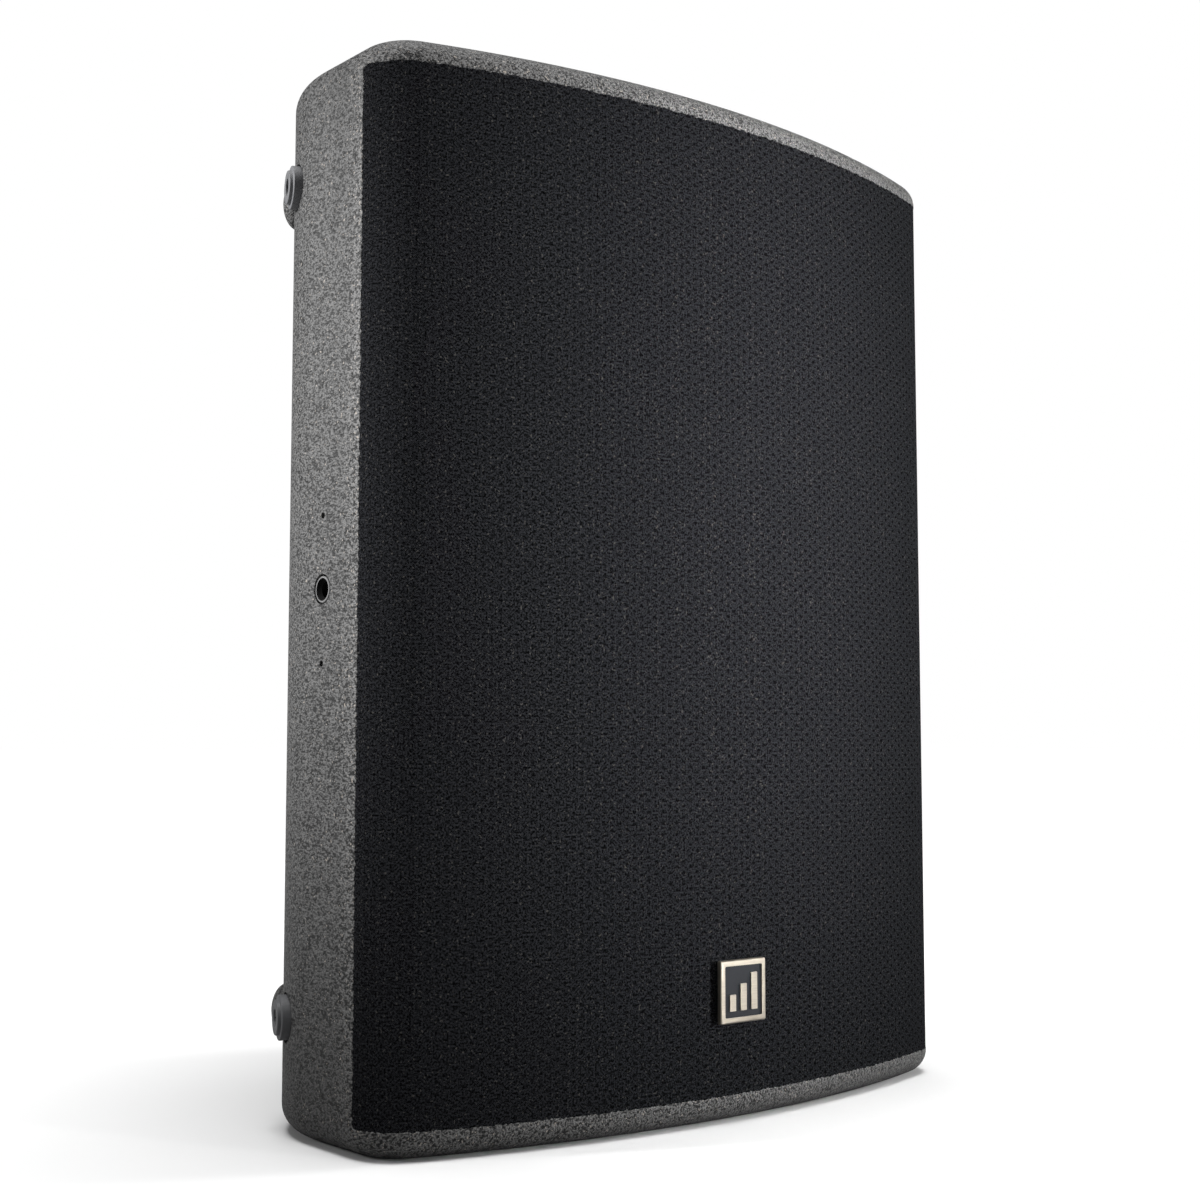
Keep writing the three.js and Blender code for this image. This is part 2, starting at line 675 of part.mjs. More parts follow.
function addFeet() {
  const kinds = [
    ["side_foot", REAR_ROUND, SIDE_FOOT_ANGLE, SIDE_FOOT_RISE],
    ["back_foot", BACK_CORNER, BACK_FOOT_ANGLE, BACK_FOOT_RISE],
  ];
  for (const [kind, arc, angle, rise] of kinds) {
    for (const [endName, end] of ENDS) {
      const z = fromEnd(FOOT_FROM_END, end);
      const right = standOnArc(footGeometry(rise), arc, angle, 0, z);
      add(`${kind}_${endName}_right`, right, "rubber");
      add(`${kind}_${endName}_left`, mirrored(right), "rubber");
    }
  }
}

function addSkids() {
  const profile = [[0, GAP]];
  for (let i = 0; i <= SKID_STEPS; i++) {
    const angle = (i / SKID_STEPS) * 90 * DEG;
    const height = GAP + (SKID_HEIGHT - GAP) * Math.sin(angle);
    profile.push([i < SKID_STEPS ? SKID_RADIUS * Math.cos(angle) : 0, height]);
  }
  const dome = turned(profile).rotateZ(WEDGE_ANGLE - 90 * DEG);
  const [x, y] = onArc(REAR_ROUND, WEDGE_ANGLE);
  const along = [-Math.sin(WEDGE_ANGLE) * SKID_FROM_ROUND, Math.cos(WEDGE_ANGLE) * SKID_FROM_ROUND];
  for (const [endName, end] of ENDS) {
    const z = fromEnd(FOOT_FROM_END, end);
    const right = dome.clone().translate(x + along[0], y + along[1], z);
    add(`skid_${endName}_right`, right, "paint");
    add(`skid_${endName}_left`, mirrored(right), "paint");
  }
}

addEndPanels();
addSidePanels();
addRearPanels();
addBackPanel();
addBaffle();
addBraces();
addGrille();
addBadge();
addDriveUnit();
addPorts();
addCrossover();
addHandle();
addConnectors();
addInserts();
addFeet();
addSkids();

export default monitor;
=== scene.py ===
"""Looks of a stage monitor loudspeaker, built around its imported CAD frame.

Metres, +Z up, front towards -Y, mirror plane X = 0, standing on one end.
"""

import math

import bmesh
import bpy
from mathutils import Matrix, Vector, noise
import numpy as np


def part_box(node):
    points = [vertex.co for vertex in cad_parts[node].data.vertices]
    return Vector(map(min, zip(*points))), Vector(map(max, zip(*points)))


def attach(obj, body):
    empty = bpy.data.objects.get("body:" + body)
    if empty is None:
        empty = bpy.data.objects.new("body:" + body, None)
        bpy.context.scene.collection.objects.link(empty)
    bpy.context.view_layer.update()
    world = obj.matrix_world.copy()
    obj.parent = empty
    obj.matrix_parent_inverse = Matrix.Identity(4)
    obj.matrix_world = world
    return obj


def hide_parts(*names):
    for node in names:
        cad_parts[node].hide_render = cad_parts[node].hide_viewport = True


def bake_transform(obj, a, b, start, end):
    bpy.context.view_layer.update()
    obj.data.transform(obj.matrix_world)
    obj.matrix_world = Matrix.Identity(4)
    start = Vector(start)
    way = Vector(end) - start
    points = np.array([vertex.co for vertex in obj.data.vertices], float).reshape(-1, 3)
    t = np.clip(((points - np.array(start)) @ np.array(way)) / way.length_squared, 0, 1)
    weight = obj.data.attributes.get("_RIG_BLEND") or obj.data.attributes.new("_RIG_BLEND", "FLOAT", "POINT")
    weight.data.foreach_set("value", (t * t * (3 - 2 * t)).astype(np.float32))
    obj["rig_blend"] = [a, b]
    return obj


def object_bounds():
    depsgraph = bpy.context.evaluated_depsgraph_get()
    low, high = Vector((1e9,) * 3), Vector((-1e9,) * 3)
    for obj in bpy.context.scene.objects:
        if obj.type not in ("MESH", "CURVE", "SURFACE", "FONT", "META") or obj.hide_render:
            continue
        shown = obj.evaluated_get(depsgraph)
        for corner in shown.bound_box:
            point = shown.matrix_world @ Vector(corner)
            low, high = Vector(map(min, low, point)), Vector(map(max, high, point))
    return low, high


MM = 0.001
DEG = math.pi / 180

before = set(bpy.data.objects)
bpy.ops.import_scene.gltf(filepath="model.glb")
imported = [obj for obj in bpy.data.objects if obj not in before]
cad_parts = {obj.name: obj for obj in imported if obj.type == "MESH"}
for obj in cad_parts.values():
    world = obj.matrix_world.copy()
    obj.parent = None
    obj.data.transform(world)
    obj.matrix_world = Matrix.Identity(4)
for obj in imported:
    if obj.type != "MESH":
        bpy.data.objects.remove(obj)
CAD_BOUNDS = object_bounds()

# ---------------- sizes

# the cabinet, from the frame
HALF_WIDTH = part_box("side_panel_right")[1].x
FRONT_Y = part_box("grille_cloth")[0].y
BACK_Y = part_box("back_panel")[1].y
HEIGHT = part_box("end_panel_upper")[1].z
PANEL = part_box("end_panel_lower")[1].z
MID = HEIGHT / 2

# its plan outline
BOW_RISE = 38.4 * MM  # how far the grille's middle stands ahead of its corners
FRONT_CORNER_RADIUS = 33 * MM
SIDE_FLAT = 44 * MM  # flat stretch of the side between its two rounded edges
REAR_ROUND_RADIUS = 83 * MM
WEDGE_ANGLE = 40 * DEG  # how far the rear faces turn away from the sides
BACK_CORNER_RADIUS = 40 * MM
GRILLE_EDGE_ANGLE = 6.5 * DEG  # the side panel covers this much of the front corner
CLOTH = 1.5 * MM
FRONT_HIGHLIGHT_DEPTH = 16 * MM  # paint this far behind the front edge carries a painted highlight: paler flecks and stronger contrast

# feet and skids
FOOT_FROM_END = 63 * MM
SIDE_FOOT_ANGLE = WEDGE_ANGLE / 2
BACK_FOOT_ANGLE = (90 * DEG + WEDGE_ANGLE) / 2
FOOT_POCKET_RADIUS = 13.5 * MM
FOOT_POCKET_DEPTH = 2.6 * MM
SIDE_FOOT_RISE = 5.8 * MM
BACK_FOOT_RISE = 6.3 * MM
FOOT_BASE_RADIUS = 12.3 * MM
FOOT_STEP_RISE = 3.8 * MM
FOOT_TIP_RADIUS = 9.5 * MM
FOOT_RECESS_RADIUS = 4.7 * MM
FOOT_RECESS_DEPTH = 2.6 * MM
SKID_RADIUS = 14.3 * MM
SKID_HEIGHT = 8.5 * MM
SKID_FROM_ROUND = 5 * MM  # centre of the skid beyond the end of the rounding

# side inserts and the holes for them
INSERT_SHOULDER = 6.2 * MM
INSERT_BORE = 4.9 * MM
INSERT_FLANGE = 7.2 * MM
INSERT_HOLE = 6.9 * MM
FLANGE_HOLE = 8.3 * MM
FLANGE_HOLE_DEPTH = 4 * MM
THREAD_PITCH = 1.5 * MM
PILOT_SPACING = 40 * MM
PILOT_RADIUS = 1.7 * MM

# badge, drive unit and ports
BADGE_BORDER = 3.2 * MM
BADGE_BAR_GAP = 3.6 * MM
BADGE_RECESS = 0.8 * MM
CONE_RIM = 157.5 * MM
COIL_RADIUS = 38.5 * MM
PORT_BORE = 31.5 * MM
PORT_WALL = 4 * MM

SIDES = (("left", -1), ("right", 1))
ENDS = (("lower", 0), ("upper", 1))


def from_end(distance, end):
    return HEIGHT - distance if end else distance


def corners():
    """The four corners of a face: each one's name, its end and the sign of its side."""
    for end_name, end in ENDS:
        for side_name, sign in SIDES:
            yield f"{end_name}_{side_name}", end, sign


def centre(node):
    """The middle of a node's box."""
    return [(low + high) / 2 for low, high in zip(*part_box(node))]


# ---------------- plan outline, right half


class Arc:
    """A stretch of the plan outline, turning about (x, y) from one angle to another."""

    def __init__(self, x, y, radius, start, end, steps):
        self.x, self.y, self.radius = x, y, radius
        self.start, self.end, self.steps = start, end, steps

    def at(self, angle, inset=0.0):
        radius = self.radius - inset
        return (self.x + radius * math.cos(angle), self.y + radius * math.sin(angle))

    def angles(self, steps):
        return [self.start + (self.end - self.start) * i / steps for i in range(steps + 1)]

    def points(self, inset=0.0):
        return [self.at(angle, inset) for angle in self.angles(self.steps)]


bow_radius = (HALF_WIDTH**2 + BOW_RISE**2) / (2 * BOW_RISE)
bow_y = FRONT_Y + bow_radius
corner_x = HALF_WIDTH - FRONT_CORNER_RADIUS
corner_y = bow_y - math.sqrt((bow_radius - FRONT_CORNER_RADIUS) ** 2 - corner_x**2)
bow_end = math.atan2(corner_y - bow_y, corner_x)
round_x = HALF_WIDTH - REAR_ROUND_RADIUS
round_y = corner_y + SIDE_FLAT
back_corner_y = BACK_Y - BACK_CORNER_RADIUS
rear_reach = (
    round_x * math.cos(WEDGE_ANGLE)
    + round_y * math.sin(WEDGE_ANGLE)
    + REAR_ROUND_RADIUS
    - BACK_CORNER_RADIUS
)
back_corner_x = (rear_reach - back_corner_y * math.sin(WEDGE_ANGLE)) / math.cos(WEDGE_ANGLE)

BOW = Arc(0, bow_y, bow_radius, -90 * DEG, bow_end, 40)
FRONT_CORNER = Arc(corner_x, corner_y, FRONT_CORNER_RADIUS, bow_end, -GRILLE_EDGE_ANGLE, 20)
SIDE_EDGE = Arc(corner_x, corner_y, FRONT_CORNER_RADIUS, -GRILLE_EDGE_ANGLE, 0, 3)
REAR_ROUND = Arc(round_x, round_y, REAR_ROUND_RADIUS, 0, WEDGE_ANGLE, 24)
BACK_CORNER = Arc(back_corner_x, back_corner_y, BACK_CORNER_RADIUS, WEDGE_ANGLE, 90 * DEG, 20)
FRONT_EDGE_Y = SIDE_EDGE.points()[0][1]


def without_repeats(points):
    kept = []
    for point in points:
        if not kept or math.dist(point, kept[-1]) > 1e-7:
            kept.append(point)
    if math.dist(kept[0], kept[-1]) < 1e-7:
        kept.pop()
    return kept


def half(arcs, inset):
    return without_repeats([point for arc in arcs for point in arc.points(inset)])


def mirrored(points):
    return [(-x, y) for x, y in reversed(points)]


def from_right_to_left(arcs, inset):
    """The arcs of the right half and then their mirror images."""
    right = half(arcs, inset)
    return without_repeats(right + mirrored(right))


def across_front(inset):
    """The line of the grille, from its left edge to its right edge."""
    right = half([BOW, FRONT_CORNER], inset)
    return mirrored(right)[:-1] + right


# ---------------- mesh building


def finish_mesh(mesh, sharp=35.0):
    mesh.polygons.foreach_set("use_smooth", [True] * len(mesh.polygons))
    mesh.set_sharp_from_angle(angle=sharp * DEG)
    mesh.update()
    return mesh


def mesh_from(vertices, faces, sharp=35.0):
    mesh = bpy.data.meshes.new("piece")
    mesh.from_pydata(vertices, [], faces)
    work = bmesh.new()
    work.from_mesh(mesh)
    bmesh.ops.recalc_face_normals(work, faces=work.faces)
    work.to_mesh(mesh)
    work.free()
    return finish_mesh(mesh, sharp)


def side_faces(count, rows):
    """The faces between stacked rings of points."""
    faces = []
    for low in range(0, rows * count, count):
        for i in range(count):
            j = (i + 1) % count
            faces.append((low + i, low + j, low + count + j, low + count + i))
    return faces


def band(outer, inner, levels):
    """A wall between two open plan lines with as many points, with a row of faces per level."""
    count = len(outer)
    ring = outer + list(reversed(inner))
    total = len(ring)
    vertices = [(x, y, z) for z in levels for x, y in ring]
    faces = side_faces(total, len(levels) - 1)
    top = (len(levels) - 1) * total
    for i in range(count - 1):
        a, b, c, d = i, i + 1, total - 2 - i, total - 1 - i
        faces.append((d, c, b, a))
        faces.append((top + a, top + b, top + c, top + d))
    return mesh_from(vertices, faces)


def lathe(profile, segments=64, closed=False, sharp=35.0):
    """A solid of revolution about Y, from [radius, y] pairs. Closed profiles make rings."""
    vertices, rows = [], []
    for radius, y in profile:
        if radius < 1e-9:
            rows.append([len(vertices)])
            vertices.append((0, y, 0))
            continue
        rows.append(list(range(len(vertices), len(vertices) + segments)))
        for i in range(segments):
            angle = 2 * math.pi * i / segments
            vertices.append((radius * math.cos(angle), y, radius * math.sin(angle)))
    faces = []
    pairs = list(zip(rows, rows[1:]))
    if closed:
        pairs.append((rows[-1], rows[0]))
    for low, high in pairs:
        for i in range(segments):
            j = (i + 1) % segments
            loop = [low[i % len(low)], low[j % len(low)], high[j % len(high)], high[i % len(high)]]
            faces.append(tuple(dict.fromkeys(loop)))
    return mesh_from(vertices, faces, sharp)


def quarter_turn(steps):
    return [i / steps * 90 * DEG for i in range(steps + 1)]


def rounding(radius, y, size):
    """The points of a quarter-round edge of a lathe profile, from its side to its end."""
    return [(radius + size * math.cos(angle), y + size * math.sin(angle)) for angle in quarter_turn(5)]


def rounded_rectangle(width, height, radius):
    points, steps = [], 6
    for quarter, (sx, sy) in enumerate(((1, 1), (-1, 1), (-1, -1), (1, -1))):
        cx, cy = sx * (width / 2 - radius), sy * (height / 2 - radius)
        for i in range(steps + 1):
            angle = (quarter + i / steps) * 90 * DEG
            points.append((cx + radius * math.cos(angle), cy + radius * math.sin(angle)))
    return points


def rim_stack(rings):
    """A closed solid from equal rings of points, each capped by one face at both ends."""
    count = len(rings[0])
    vertices = [point for ring in rings for point in ring]
    caps = [tuple(range(count)), tuple(range((len(rings) - 1) * count, len(rings) * count))]
    return mesh_from(vertices, caps + side_faces(count, len(rings) - 1))


def slab(width, height, radius, y0, y1, edge=0.0):
    """A rounded rectangle in X and Z from y0 to y1; the y1 rim is rounded over by edge."""
    direction = 1 if y1 > y0 else -1

    def ring(inset, y):
        least = 0.1 * MM
        wide, high = width - 2 * inset, height - 2 * inset
        outline = rounded_rectangle(wide, high, max(radius - inset, least))
        return [(x, y, z) for x, z in outline]

    rings = [ring(0, y0)]
    for angle in quarter_turn(4) if edge else [90 * DEG]:
        drop = edge * (1 - math.sin(angle))
        rings.append(ring(edge * (1 - math.cos(angle)), y1 - direction * drop))
    return rim_stack(rings)


def moved(mesh, matrix):
    mesh.transform(matrix)
    if matrix.determinant() < 0:
        mesh.flip_normals()
    return mesh


def shifted(mesh, x=0.0, y=0.0, z=0.0):
    return moved(mesh, Matrix.Translation((x, y, z)))


def mirror(mesh):
    return moved(mesh.copy(), Matrix.Scale(-1, 4, (1, 0, 0)))


def on_side(mesh, sign):
    """A copy for the right side, or its mirror image for the left."""
    return mesh.copy() if sign > 0 else mirror(mesh)


def stand_on_arc(mesh, arc, angle, z):
    """A copy of a mesh made about Y, turned so that its axis leaves an arc of the outline."""
    x, y = arc.at(angle)
    turn = Matrix.Rotation(angle - 90 * DEG, 4, "Z")
    return moved(mesh.copy(), Matrix.Translation((x, y, z)) @ turn)


def linked(name, data):
    """A new object in the scene."""
    thing = bpy.data.objects.new(name, data)
    bpy.context.scene.collection.objects.link(thing)
    return thing


def carve(mesh, cutters, operation="DIFFERENCE", sharp=35.0):
    """Cuts closed meshes out of a mesh, or joins them on."""
    target = linked("target", mesh)
    helpers = []
    for cutter in cutters:
        helper = linked("cutter", cutter)
        modifier = target.modifiers.new("cut", "BOOLEAN")
        modifier.operation = operation
        modifier.solver = "EXACT"
        modifier.object = helper
        helpers.append(helper)
    bpy.context.view_layer.update()
    evaluated = target.evaluated_get(bpy.context.evaluated_depsgraph_get())
    result = bpy.data.meshes.new_from_object(evaluated)
    for helper in [*helpers, target]:
        bpy.data.objects.remove(helper)
    return finish_mesh(result, sharp)


def piece(name, mesh, material, body="cabinet", replaces=()):
    """A named object that rides on a body, or on none where body is empty."""
    mesh.materials.clear()
    mesh.materials.append(material)
    thing = linked(name, mesh)
    if body:
        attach(thing, body)
    if replaces:
        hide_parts(*replaces)
    return thing


# ---------------- materials


class Shader:
    """A node material with one Principled shader, and short calls to add nodes to it."""

    def __init__(self, name, **sockets):
        self.material = bpy.data.materials.new(name)
        self.material.use_nodes = True
        self.tree = self.material.node_tree
        self.principled = self.tree.nodes["Principled BSDF"]
        for key, value in sockets.items():
            self.principled.inputs[key.replace("_", " ")].default_value = value
        self.coordinates = self.node("ShaderNodeTexCoord").outputs["Object"]

    def node(self, kind, inputs=None, **settings):
        made = self.tree.nodes.new(kind)
        for key, value in settings.items():
            setattr(made, key, value)
        for key, value in (inputs or {}).items():
            if isinstance(value, bpy.types.NodeSocket):
                self.tree.links.new(value, made.inputs[key])
            else:
                made.inputs[key].default_value = value
        return made

    def math(self, operation, *values):
        return self.node("ShaderNodeMath", dict(enumerate(values)), operation=operation).outputs[0]

    def noise(self, scale, detail=2.0, roughness=0.5, vector=None):
        inputs = {"Vector": vector or self.coordinates, "Scale": scale}
        inputs |= {"Detail": detail, "Roughness": roughness}
        return self.node("ShaderNodeTexNoise", inputs).outputs["Fac"]

    def vector(self, operation, first, second):
        return self.node("ShaderNodeVectorMath", {0: first, 1: second}, operation=operation).outputs[0]

    def scaled(self, factors):
        """The object's coordinates, each axis multiplied by its factor."""
        return self.vector("MULTIPLY", self.coordinates, factors)

    def offset(self, distance):
        """The object's coordinates moved along, so that two noises don't match."""
        return self.vector("ADD", self.coordinates, (distance, distance, distance))

    def part(self, vector, axis):
        return self.node("ShaderNodeSeparateXYZ", {"Vector": vector}).outputs[axis]

    def spread(self, value, low, high, to_low=0, to_high=1):
        """Maps the stretch from low to high onto another, and holds it at both ends."""
        inputs = {"Value": value, "From Min": low, "From Max": high, "To Min": to_low, "To Max": to_high}
        return self.node("ShaderNodeMapRange", inputs).outputs["Result"]

    def blend(self, factor, first, second):
        """The first colour where the factor is 0, and the second where it is 1."""
        # sockets 0, 6 and 7 are the mix node's factor and its two colours
        return self.node("ShaderNodeMix", {0: factor, 6: first, 7: second}, data_type="RGBA").outputs[2]

    def set(self, socket, value):
        self.tree.links.new(value, self.principled.inputs[socket])

    def bump(self, height, distance, strength=1.0):
        inputs = {"Height": height, "Distance": distance, "Strength": strength}
        self.set("Normal", self.node("ShaderNodeBump", inputs).outputs["Normal"])


def grey(value, warmth=0.0):
    return (value * (1 + warmth), value, value * (1 - warmth), 1.0)


def paint_material():
    """Hard grey paint sprayed with a wrinkled grain, dark pits and a few pale flecks.

    The grain is drawn out a little from front to back. Along the front edges it carries a painted highlight:
    paler flecks and stronger contrast.
    """
    wrinkle_scale, grit_scale, fleck_scale, cloud_scale = 640, 1150, 760, 9
    shader = Shader("structured_paint", Specular_IOR_Level=0.2)
    stretched = shader.scaled((1, 0.55, 1))
    wrinkles = shader.noise(wrinkle_scale, 1.0, 0.5, vector=stretched)
    grit = shader.noise(grit_scale, 1.0, 0.5, vector=stretched)
    clouds = shader.noise(cloud_scale, 3.0, 0.5)
    grain = shader.math("ADD", shader.math("MULTIPLY", wrinkles, 0.6), shader.math("MULTIPLY", grit, 0.4))

    # 1 along the front edges, and 0 further back or on the flat of an end panel: the mask of a painted
    # highlight, where light catches the relief of the front edges
    depth = shader.part(shader.coordinates, "Y")
    normal = shader.node("ShaderNodeNewGeometry").outputs["Normal"]
    slope = shader.math("ABSOLUTE", shader.part(normal, "Z"))
    front_highlight_reach = shader.spread(depth, FRONT_EDGE_Y + FRONT_HIGHLIGHT_DEPTH, FRONT_EDGE_Y)
    front = shader.math("MULTIPLY", front_highlight_reach, shader.spread(slope, 0.3, 0.98, 1, 0))

    # painted highlight: near the front edges the dark and pale tones spread apart and pale flecks become
    # more common
    darkest = shader.blend(front, grey(0.012), grey(0.007))
    palest = shader.blend(front, grey(0.102, 0.006), grey(0.145, 0.01))
    tone = shader.blend(shader.spread(grain, 0.42, 0.58), darkest, palest)
    pits = shader.noise(wrinkle_scale, 0.0, 0.5, vector=stretched)
    pitted = shader.blend(shader.spread(pits, 0.64, 0.72, 0, 0.8), tone, grey(0.012))
    flecks = shader.noise(fleck_scale, 0.0, 0.5, vector=shader.offset(7.0))
    pale_from = shader.math("MULTIPLY_ADD", front, -0.05, 0.78)
    pale_full = shader.math("ADD", pale_from, 0.05)
    flecked = shader.blend(shader.spread(flecks, pale_from, pale_full, 0, 0.8), pitted, grey(0.26, 0.12))
    shader.set("Base Color", shader.blend(shader.spread(clouds, 0.35, 0.7, 0, 0.08), flecked, grey(0.05)))
    shader.set("Roughness", shader.spread(grit, 0.3, 0.7, 0.45, 0.7))
    shader.bump(grain, 0.9 * MM)
    return shader.material


def cloth_material():
    """Black woven cloth drawn over perforated steel, whose holes show as darker dots."""
    yarn_pitch, dot_pitch_across, dot_pitch_up = 0.9 * MM, 9.66 * MM, 6.13 * MM
    shader = Shader(
        "acoustic_cloth", Roughness=0.9, Sheen_Weight=0.01, Sheen_Roughness=0.5, Specular_IOR_Level=0.0
    )

    # the place on the flat sheet, pulled about a little so that no row is quite straight
    place = shader.node("ShaderNodeAttribute", attribute_name="cloth_place").outputs["Vector"]
    drift = shader.node("ShaderNodeTexNoise", {"Vector": place, "Scale": 260, "Detail": 1.0})
    centred = shader.vector("SUBTRACT", drift.outputs["Color"], (0.5, 0.5, 0.5))
    shift = shader.node("ShaderNodeVectorMath", {0: centred, "Scale": 1.6 * MM}, operation="SCALE")
    warped = shader.vector("ADD", place, shift.outputs[0])
    along, up = shader.part(warped, "X"), shader.part(warped, "Y")

    def wave(value, pitch, phase=0.0):
        return shader.math("COSINE", shader.math("MULTIPLY_ADD", value, 2 * math.pi / pitch, phase))

    dots = shader.math("MULTIPLY", wave(along, dot_pitch_across), wave(up, dot_pitch_up))
    hole = shader.spread(dots, 0.5, 0.85)
    weave = shader.math("MULTIPLY", wave(along, yarn_pitch), wave(up, yarn_pitch, 0.7))
    fuzz = shader.noise(950, 1.5, 0.6, vector=place)
    yarn = shader.math("MULTIPLY_ADD", weave, 0.12, fuzz)
    dark_yarn, pale_yarn = (0.0008, 0.0008, 0.001, 1), (0.0176, 0.0182, 0.0204, 1)
    tone = shader.blend(shader.spread(yarn, 0.4, 0.6), dark_yarn, pale_yarn)
    glints = shader.noise(900, 0.0, 0.5, vector=shader.offset(3.0))
    glinting = shader.blend(shader.spread(glints, 0.72, 0.8), tone, (0.042, 0.04, 0.038, 1))
    # painted light: the dots are painted stronger towards the right, where a harder light from the right
    # shows them more
    painted_right_light = shader.spread(along, -HALF_WIDTH, HALF_WIDTH, 0.5, 1.0)
    darkened = shader.math("MULTIPLY", hole, painted_right_light)
    shader.set("Base Color", shader.blend(darkened, glinting, (0.0004, 0.0004, 0.0005, 1)))
    relief = shader.math("SUBTRACT", yarn, shader.math("MULTIPLY", hole, 0.3))
    shader.bump(relief, 0.2 * MM)
    return shader.material


def metal_material(name, colour, roughness=0.35, brush=(1, 1, 1)):
    """Brushed or plated metal, its fine lines drawn out along the axes where brush is small."""
    shader = Shader(name, Metallic=1.0, Roughness=roughness)
    lines = shader.noise(1500, 3.0, 0.6, vector=shader.scaled(brush))
    marks = shader.noise(160, 3.0, 0.6)
    dark = tuple(c * 0.8 for c in colour[:3]) + (1,)
    shader.set("Base Color", shader.blend(shader.spread(lines, 0.3, 0.7), dark, colour))
    shader.set("Roughness", shader.spread(marks, 0.3, 0.7, roughness * 0.8, roughness * 1.3))
    shader.bump(lines, 0.02 * MM)
    return shader.material


def moulded_material(name, colour, roughness=0.55, scale=1400, bump=0.05 * MM, mottle=1.35, specular=0.5):
    """Moulded rubber or plastic with a fine eroded grain."""
    shader = Shader(name, Roughness=roughness, Specular_IOR_Level=specular)
    grain = shader.noise(scale, 2.0, 0.5)
    clouds = shader.noise(60, 3.0, 0.5)
    light = tuple(min(1, c * mottle) for c in colour[:3]) + (1,)
    shader.set("Base Color", shader.blend(shader.spread(clouds, 0.3, 0.7), colour, light))
    shader.set("Roughness", shader.spread(grain, 0.3, 0.7, roughness * 0.85, roughness * 1.15))
    shader.bump(grain, bump)
    return shader.material


def wood_material(name, light, dark):
    """Plywood: a stretched grain with thin darker lines."""
    shader = Shader(name, Roughness=0.7)
    stretched = shader.scaled((60, 60, 4))
    grain = shader.noise(1.0, 4.0, 0.6, vector=stretched)
    pores = shader.noise(900, 2.0, 0.5)
    shader.set("Base Color", shader.blend(shader.spread(grain, 0.35, 0.65), light, dark))
    shader.set("Roughness", shader.spread(pores, 0.3, 0.7, 0.6, 0.85))
    shader.bump(grain, 0.2 * MM)
    return shader.material


def floor_material():
    """Plain and pale in view, and darker to the light that it sends back up at the object."""
    shader = Shader("pale_floor", Roughness=0.9, Specular_IOR_Level=0.1)
    seen = shader.node("ShaderNodeLightPath").outputs["Is Camera Ray"]
    clouds = shader.noise(3, 3.0, 0.5)
    pale = shader.blend(clouds, grey(0.87), grey(0.885))
    shader.set("Base Color", shader.blend(seen, grey(0.42), pale))
    return shader.material


PAINT = paint_material()
CLOTH_LOOK = cloth_material()
NICKEL = metal_material("badge_nickel", (0.29, 0.262, 0.218, 1), 0.45, brush=(0.08, 1, 2.0))
ZINC = metal_material("zinc_plate", (0.52, 0.52, 0.50, 1), 0.38)
BRASS = metal_material("contact_brass", (0.80, 0.62, 0.30, 1), 0.3)
RUBBER = moulded_material("foot_rubber", (0.07, 0.071, 0.075, 1), 0.6)
PLASTIC = moulded_material("moulded_plastic", (0.016, 0.016, 0.018, 1), 0.5)
INK = moulded_material(
    "badge_recess", (0.009, 0.01, 0.0125, 1), 0.5, scale=2500, bump=0.02 * MM, specular=0.12
)
# near black: painted shade inside the side inserts' bores and threads
BORE_SHADE = moulded_material("bore_painted_shade", grey(0.003), 0.6, scale=2200, specular=0.05)
BLACK_STEEL = moulded_material("powder_coat", (0.018, 0.018, 0.02, 1), 0.45, scale=2200)
BLACK_SCREW = metal_material("black_screw", (0.05, 0.05, 0.052, 1), 0.35)
BLACK_WOOD = wood_material("black_plywood", (0.018, 0.018, 0.018, 1), (0.03, 0.03, 0.03, 1))
PLYWOOD = wood_material("birch_plywood", (0.66, 0.49, 0.30, 1), (0.46, 0.31, 0.17, 1))
CAST = moulded_material("cast_aluminium", (0.22, 0.22, 0.23, 1), 0.5, scale=700, bump=0.12 * MM)
PULP = moulded_material("cone_paper", (0.016, 0.016, 0.018, 1), 0.8, scale=500, bump=0.15 * MM)
FERRITE = moulded_material("ferrite", (0.05, 0.05, 0.052, 1), 0.65, scale=900)
COPPER = metal_material("copper_wire", (0.72, 0.36, 0.2, 1), 0.35, brush=(0.2, 0.2, 1.5))
BOARD = moulded_material("circuit_board", (0.02, 0.11, 0.05, 1), 0.4)
FILM = moulded_material("capacitor_film", (0.55, 0.37, 0.05, 1), 0.3)
PAINT_ON_METAL = moulded_material("painted_insert", (0.10, 0.10, 0.10, 1), 0.45, scale=900, bump=0.06 * MM)
SPIDER_CLOTH = moulded_material("resin_cloth", (0.42, 0.29, 0.08, 1), 0.7, scale=1800, bump=0.1 * MM)
FLOOR_LOOK = floor_material()


# ---------------- cabinet


def end_panel_mesh():
    """The lower end panel: flat outside, one full quarter-round along its whole edge."""
    arcs = [BOW, FRONT_CORNER, SIDE_EDGE, REAR_ROUND, BACK_CORNER]
    flat_rim = 0.6 * MM  # a narrow ring that keeps the flat's shading flat

    def ring(inset, z):
        return [(x, y, z) for x, y in from_right_to_left(arcs, inset)]

    rings = [ring(0, PANEL)]
    for angle in quarter_turn(12)[1:]:
        rings.append(ring(PANEL * (1 - math.cos(angle)), PANEL * (1 - math.sin(angle))))
    rings.append(ring(PANEL + flat_rim, 0))
    return rim_stack(rings)


def hole(radius, depth, lip=0.35 * MM, reach=3 * MM, segments=48):
    """A cutter for a round hole about Y, flared where it meets the surface at y = 0."""
    wide = radius + lip
    profile = [(0, -depth), (radius, -depth), (radius, -lip), (wide, 0.05 * MM), (wide, reach), (0, reach)]
    return lathe(profile, segments)


def foot_pockets(arc, angle, reach):
    """Cutters for the two feet of one rounding."""
    pocket = hole(FOOT_POCKET_RADIUS, FOOT_POCKET_DEPTH, 0.3 * MM, reach, 64)
    return [stand_on_arc(pocket, arc, angle, from_end(FOOT_FROM_END, end)) for _, end in ENDS]


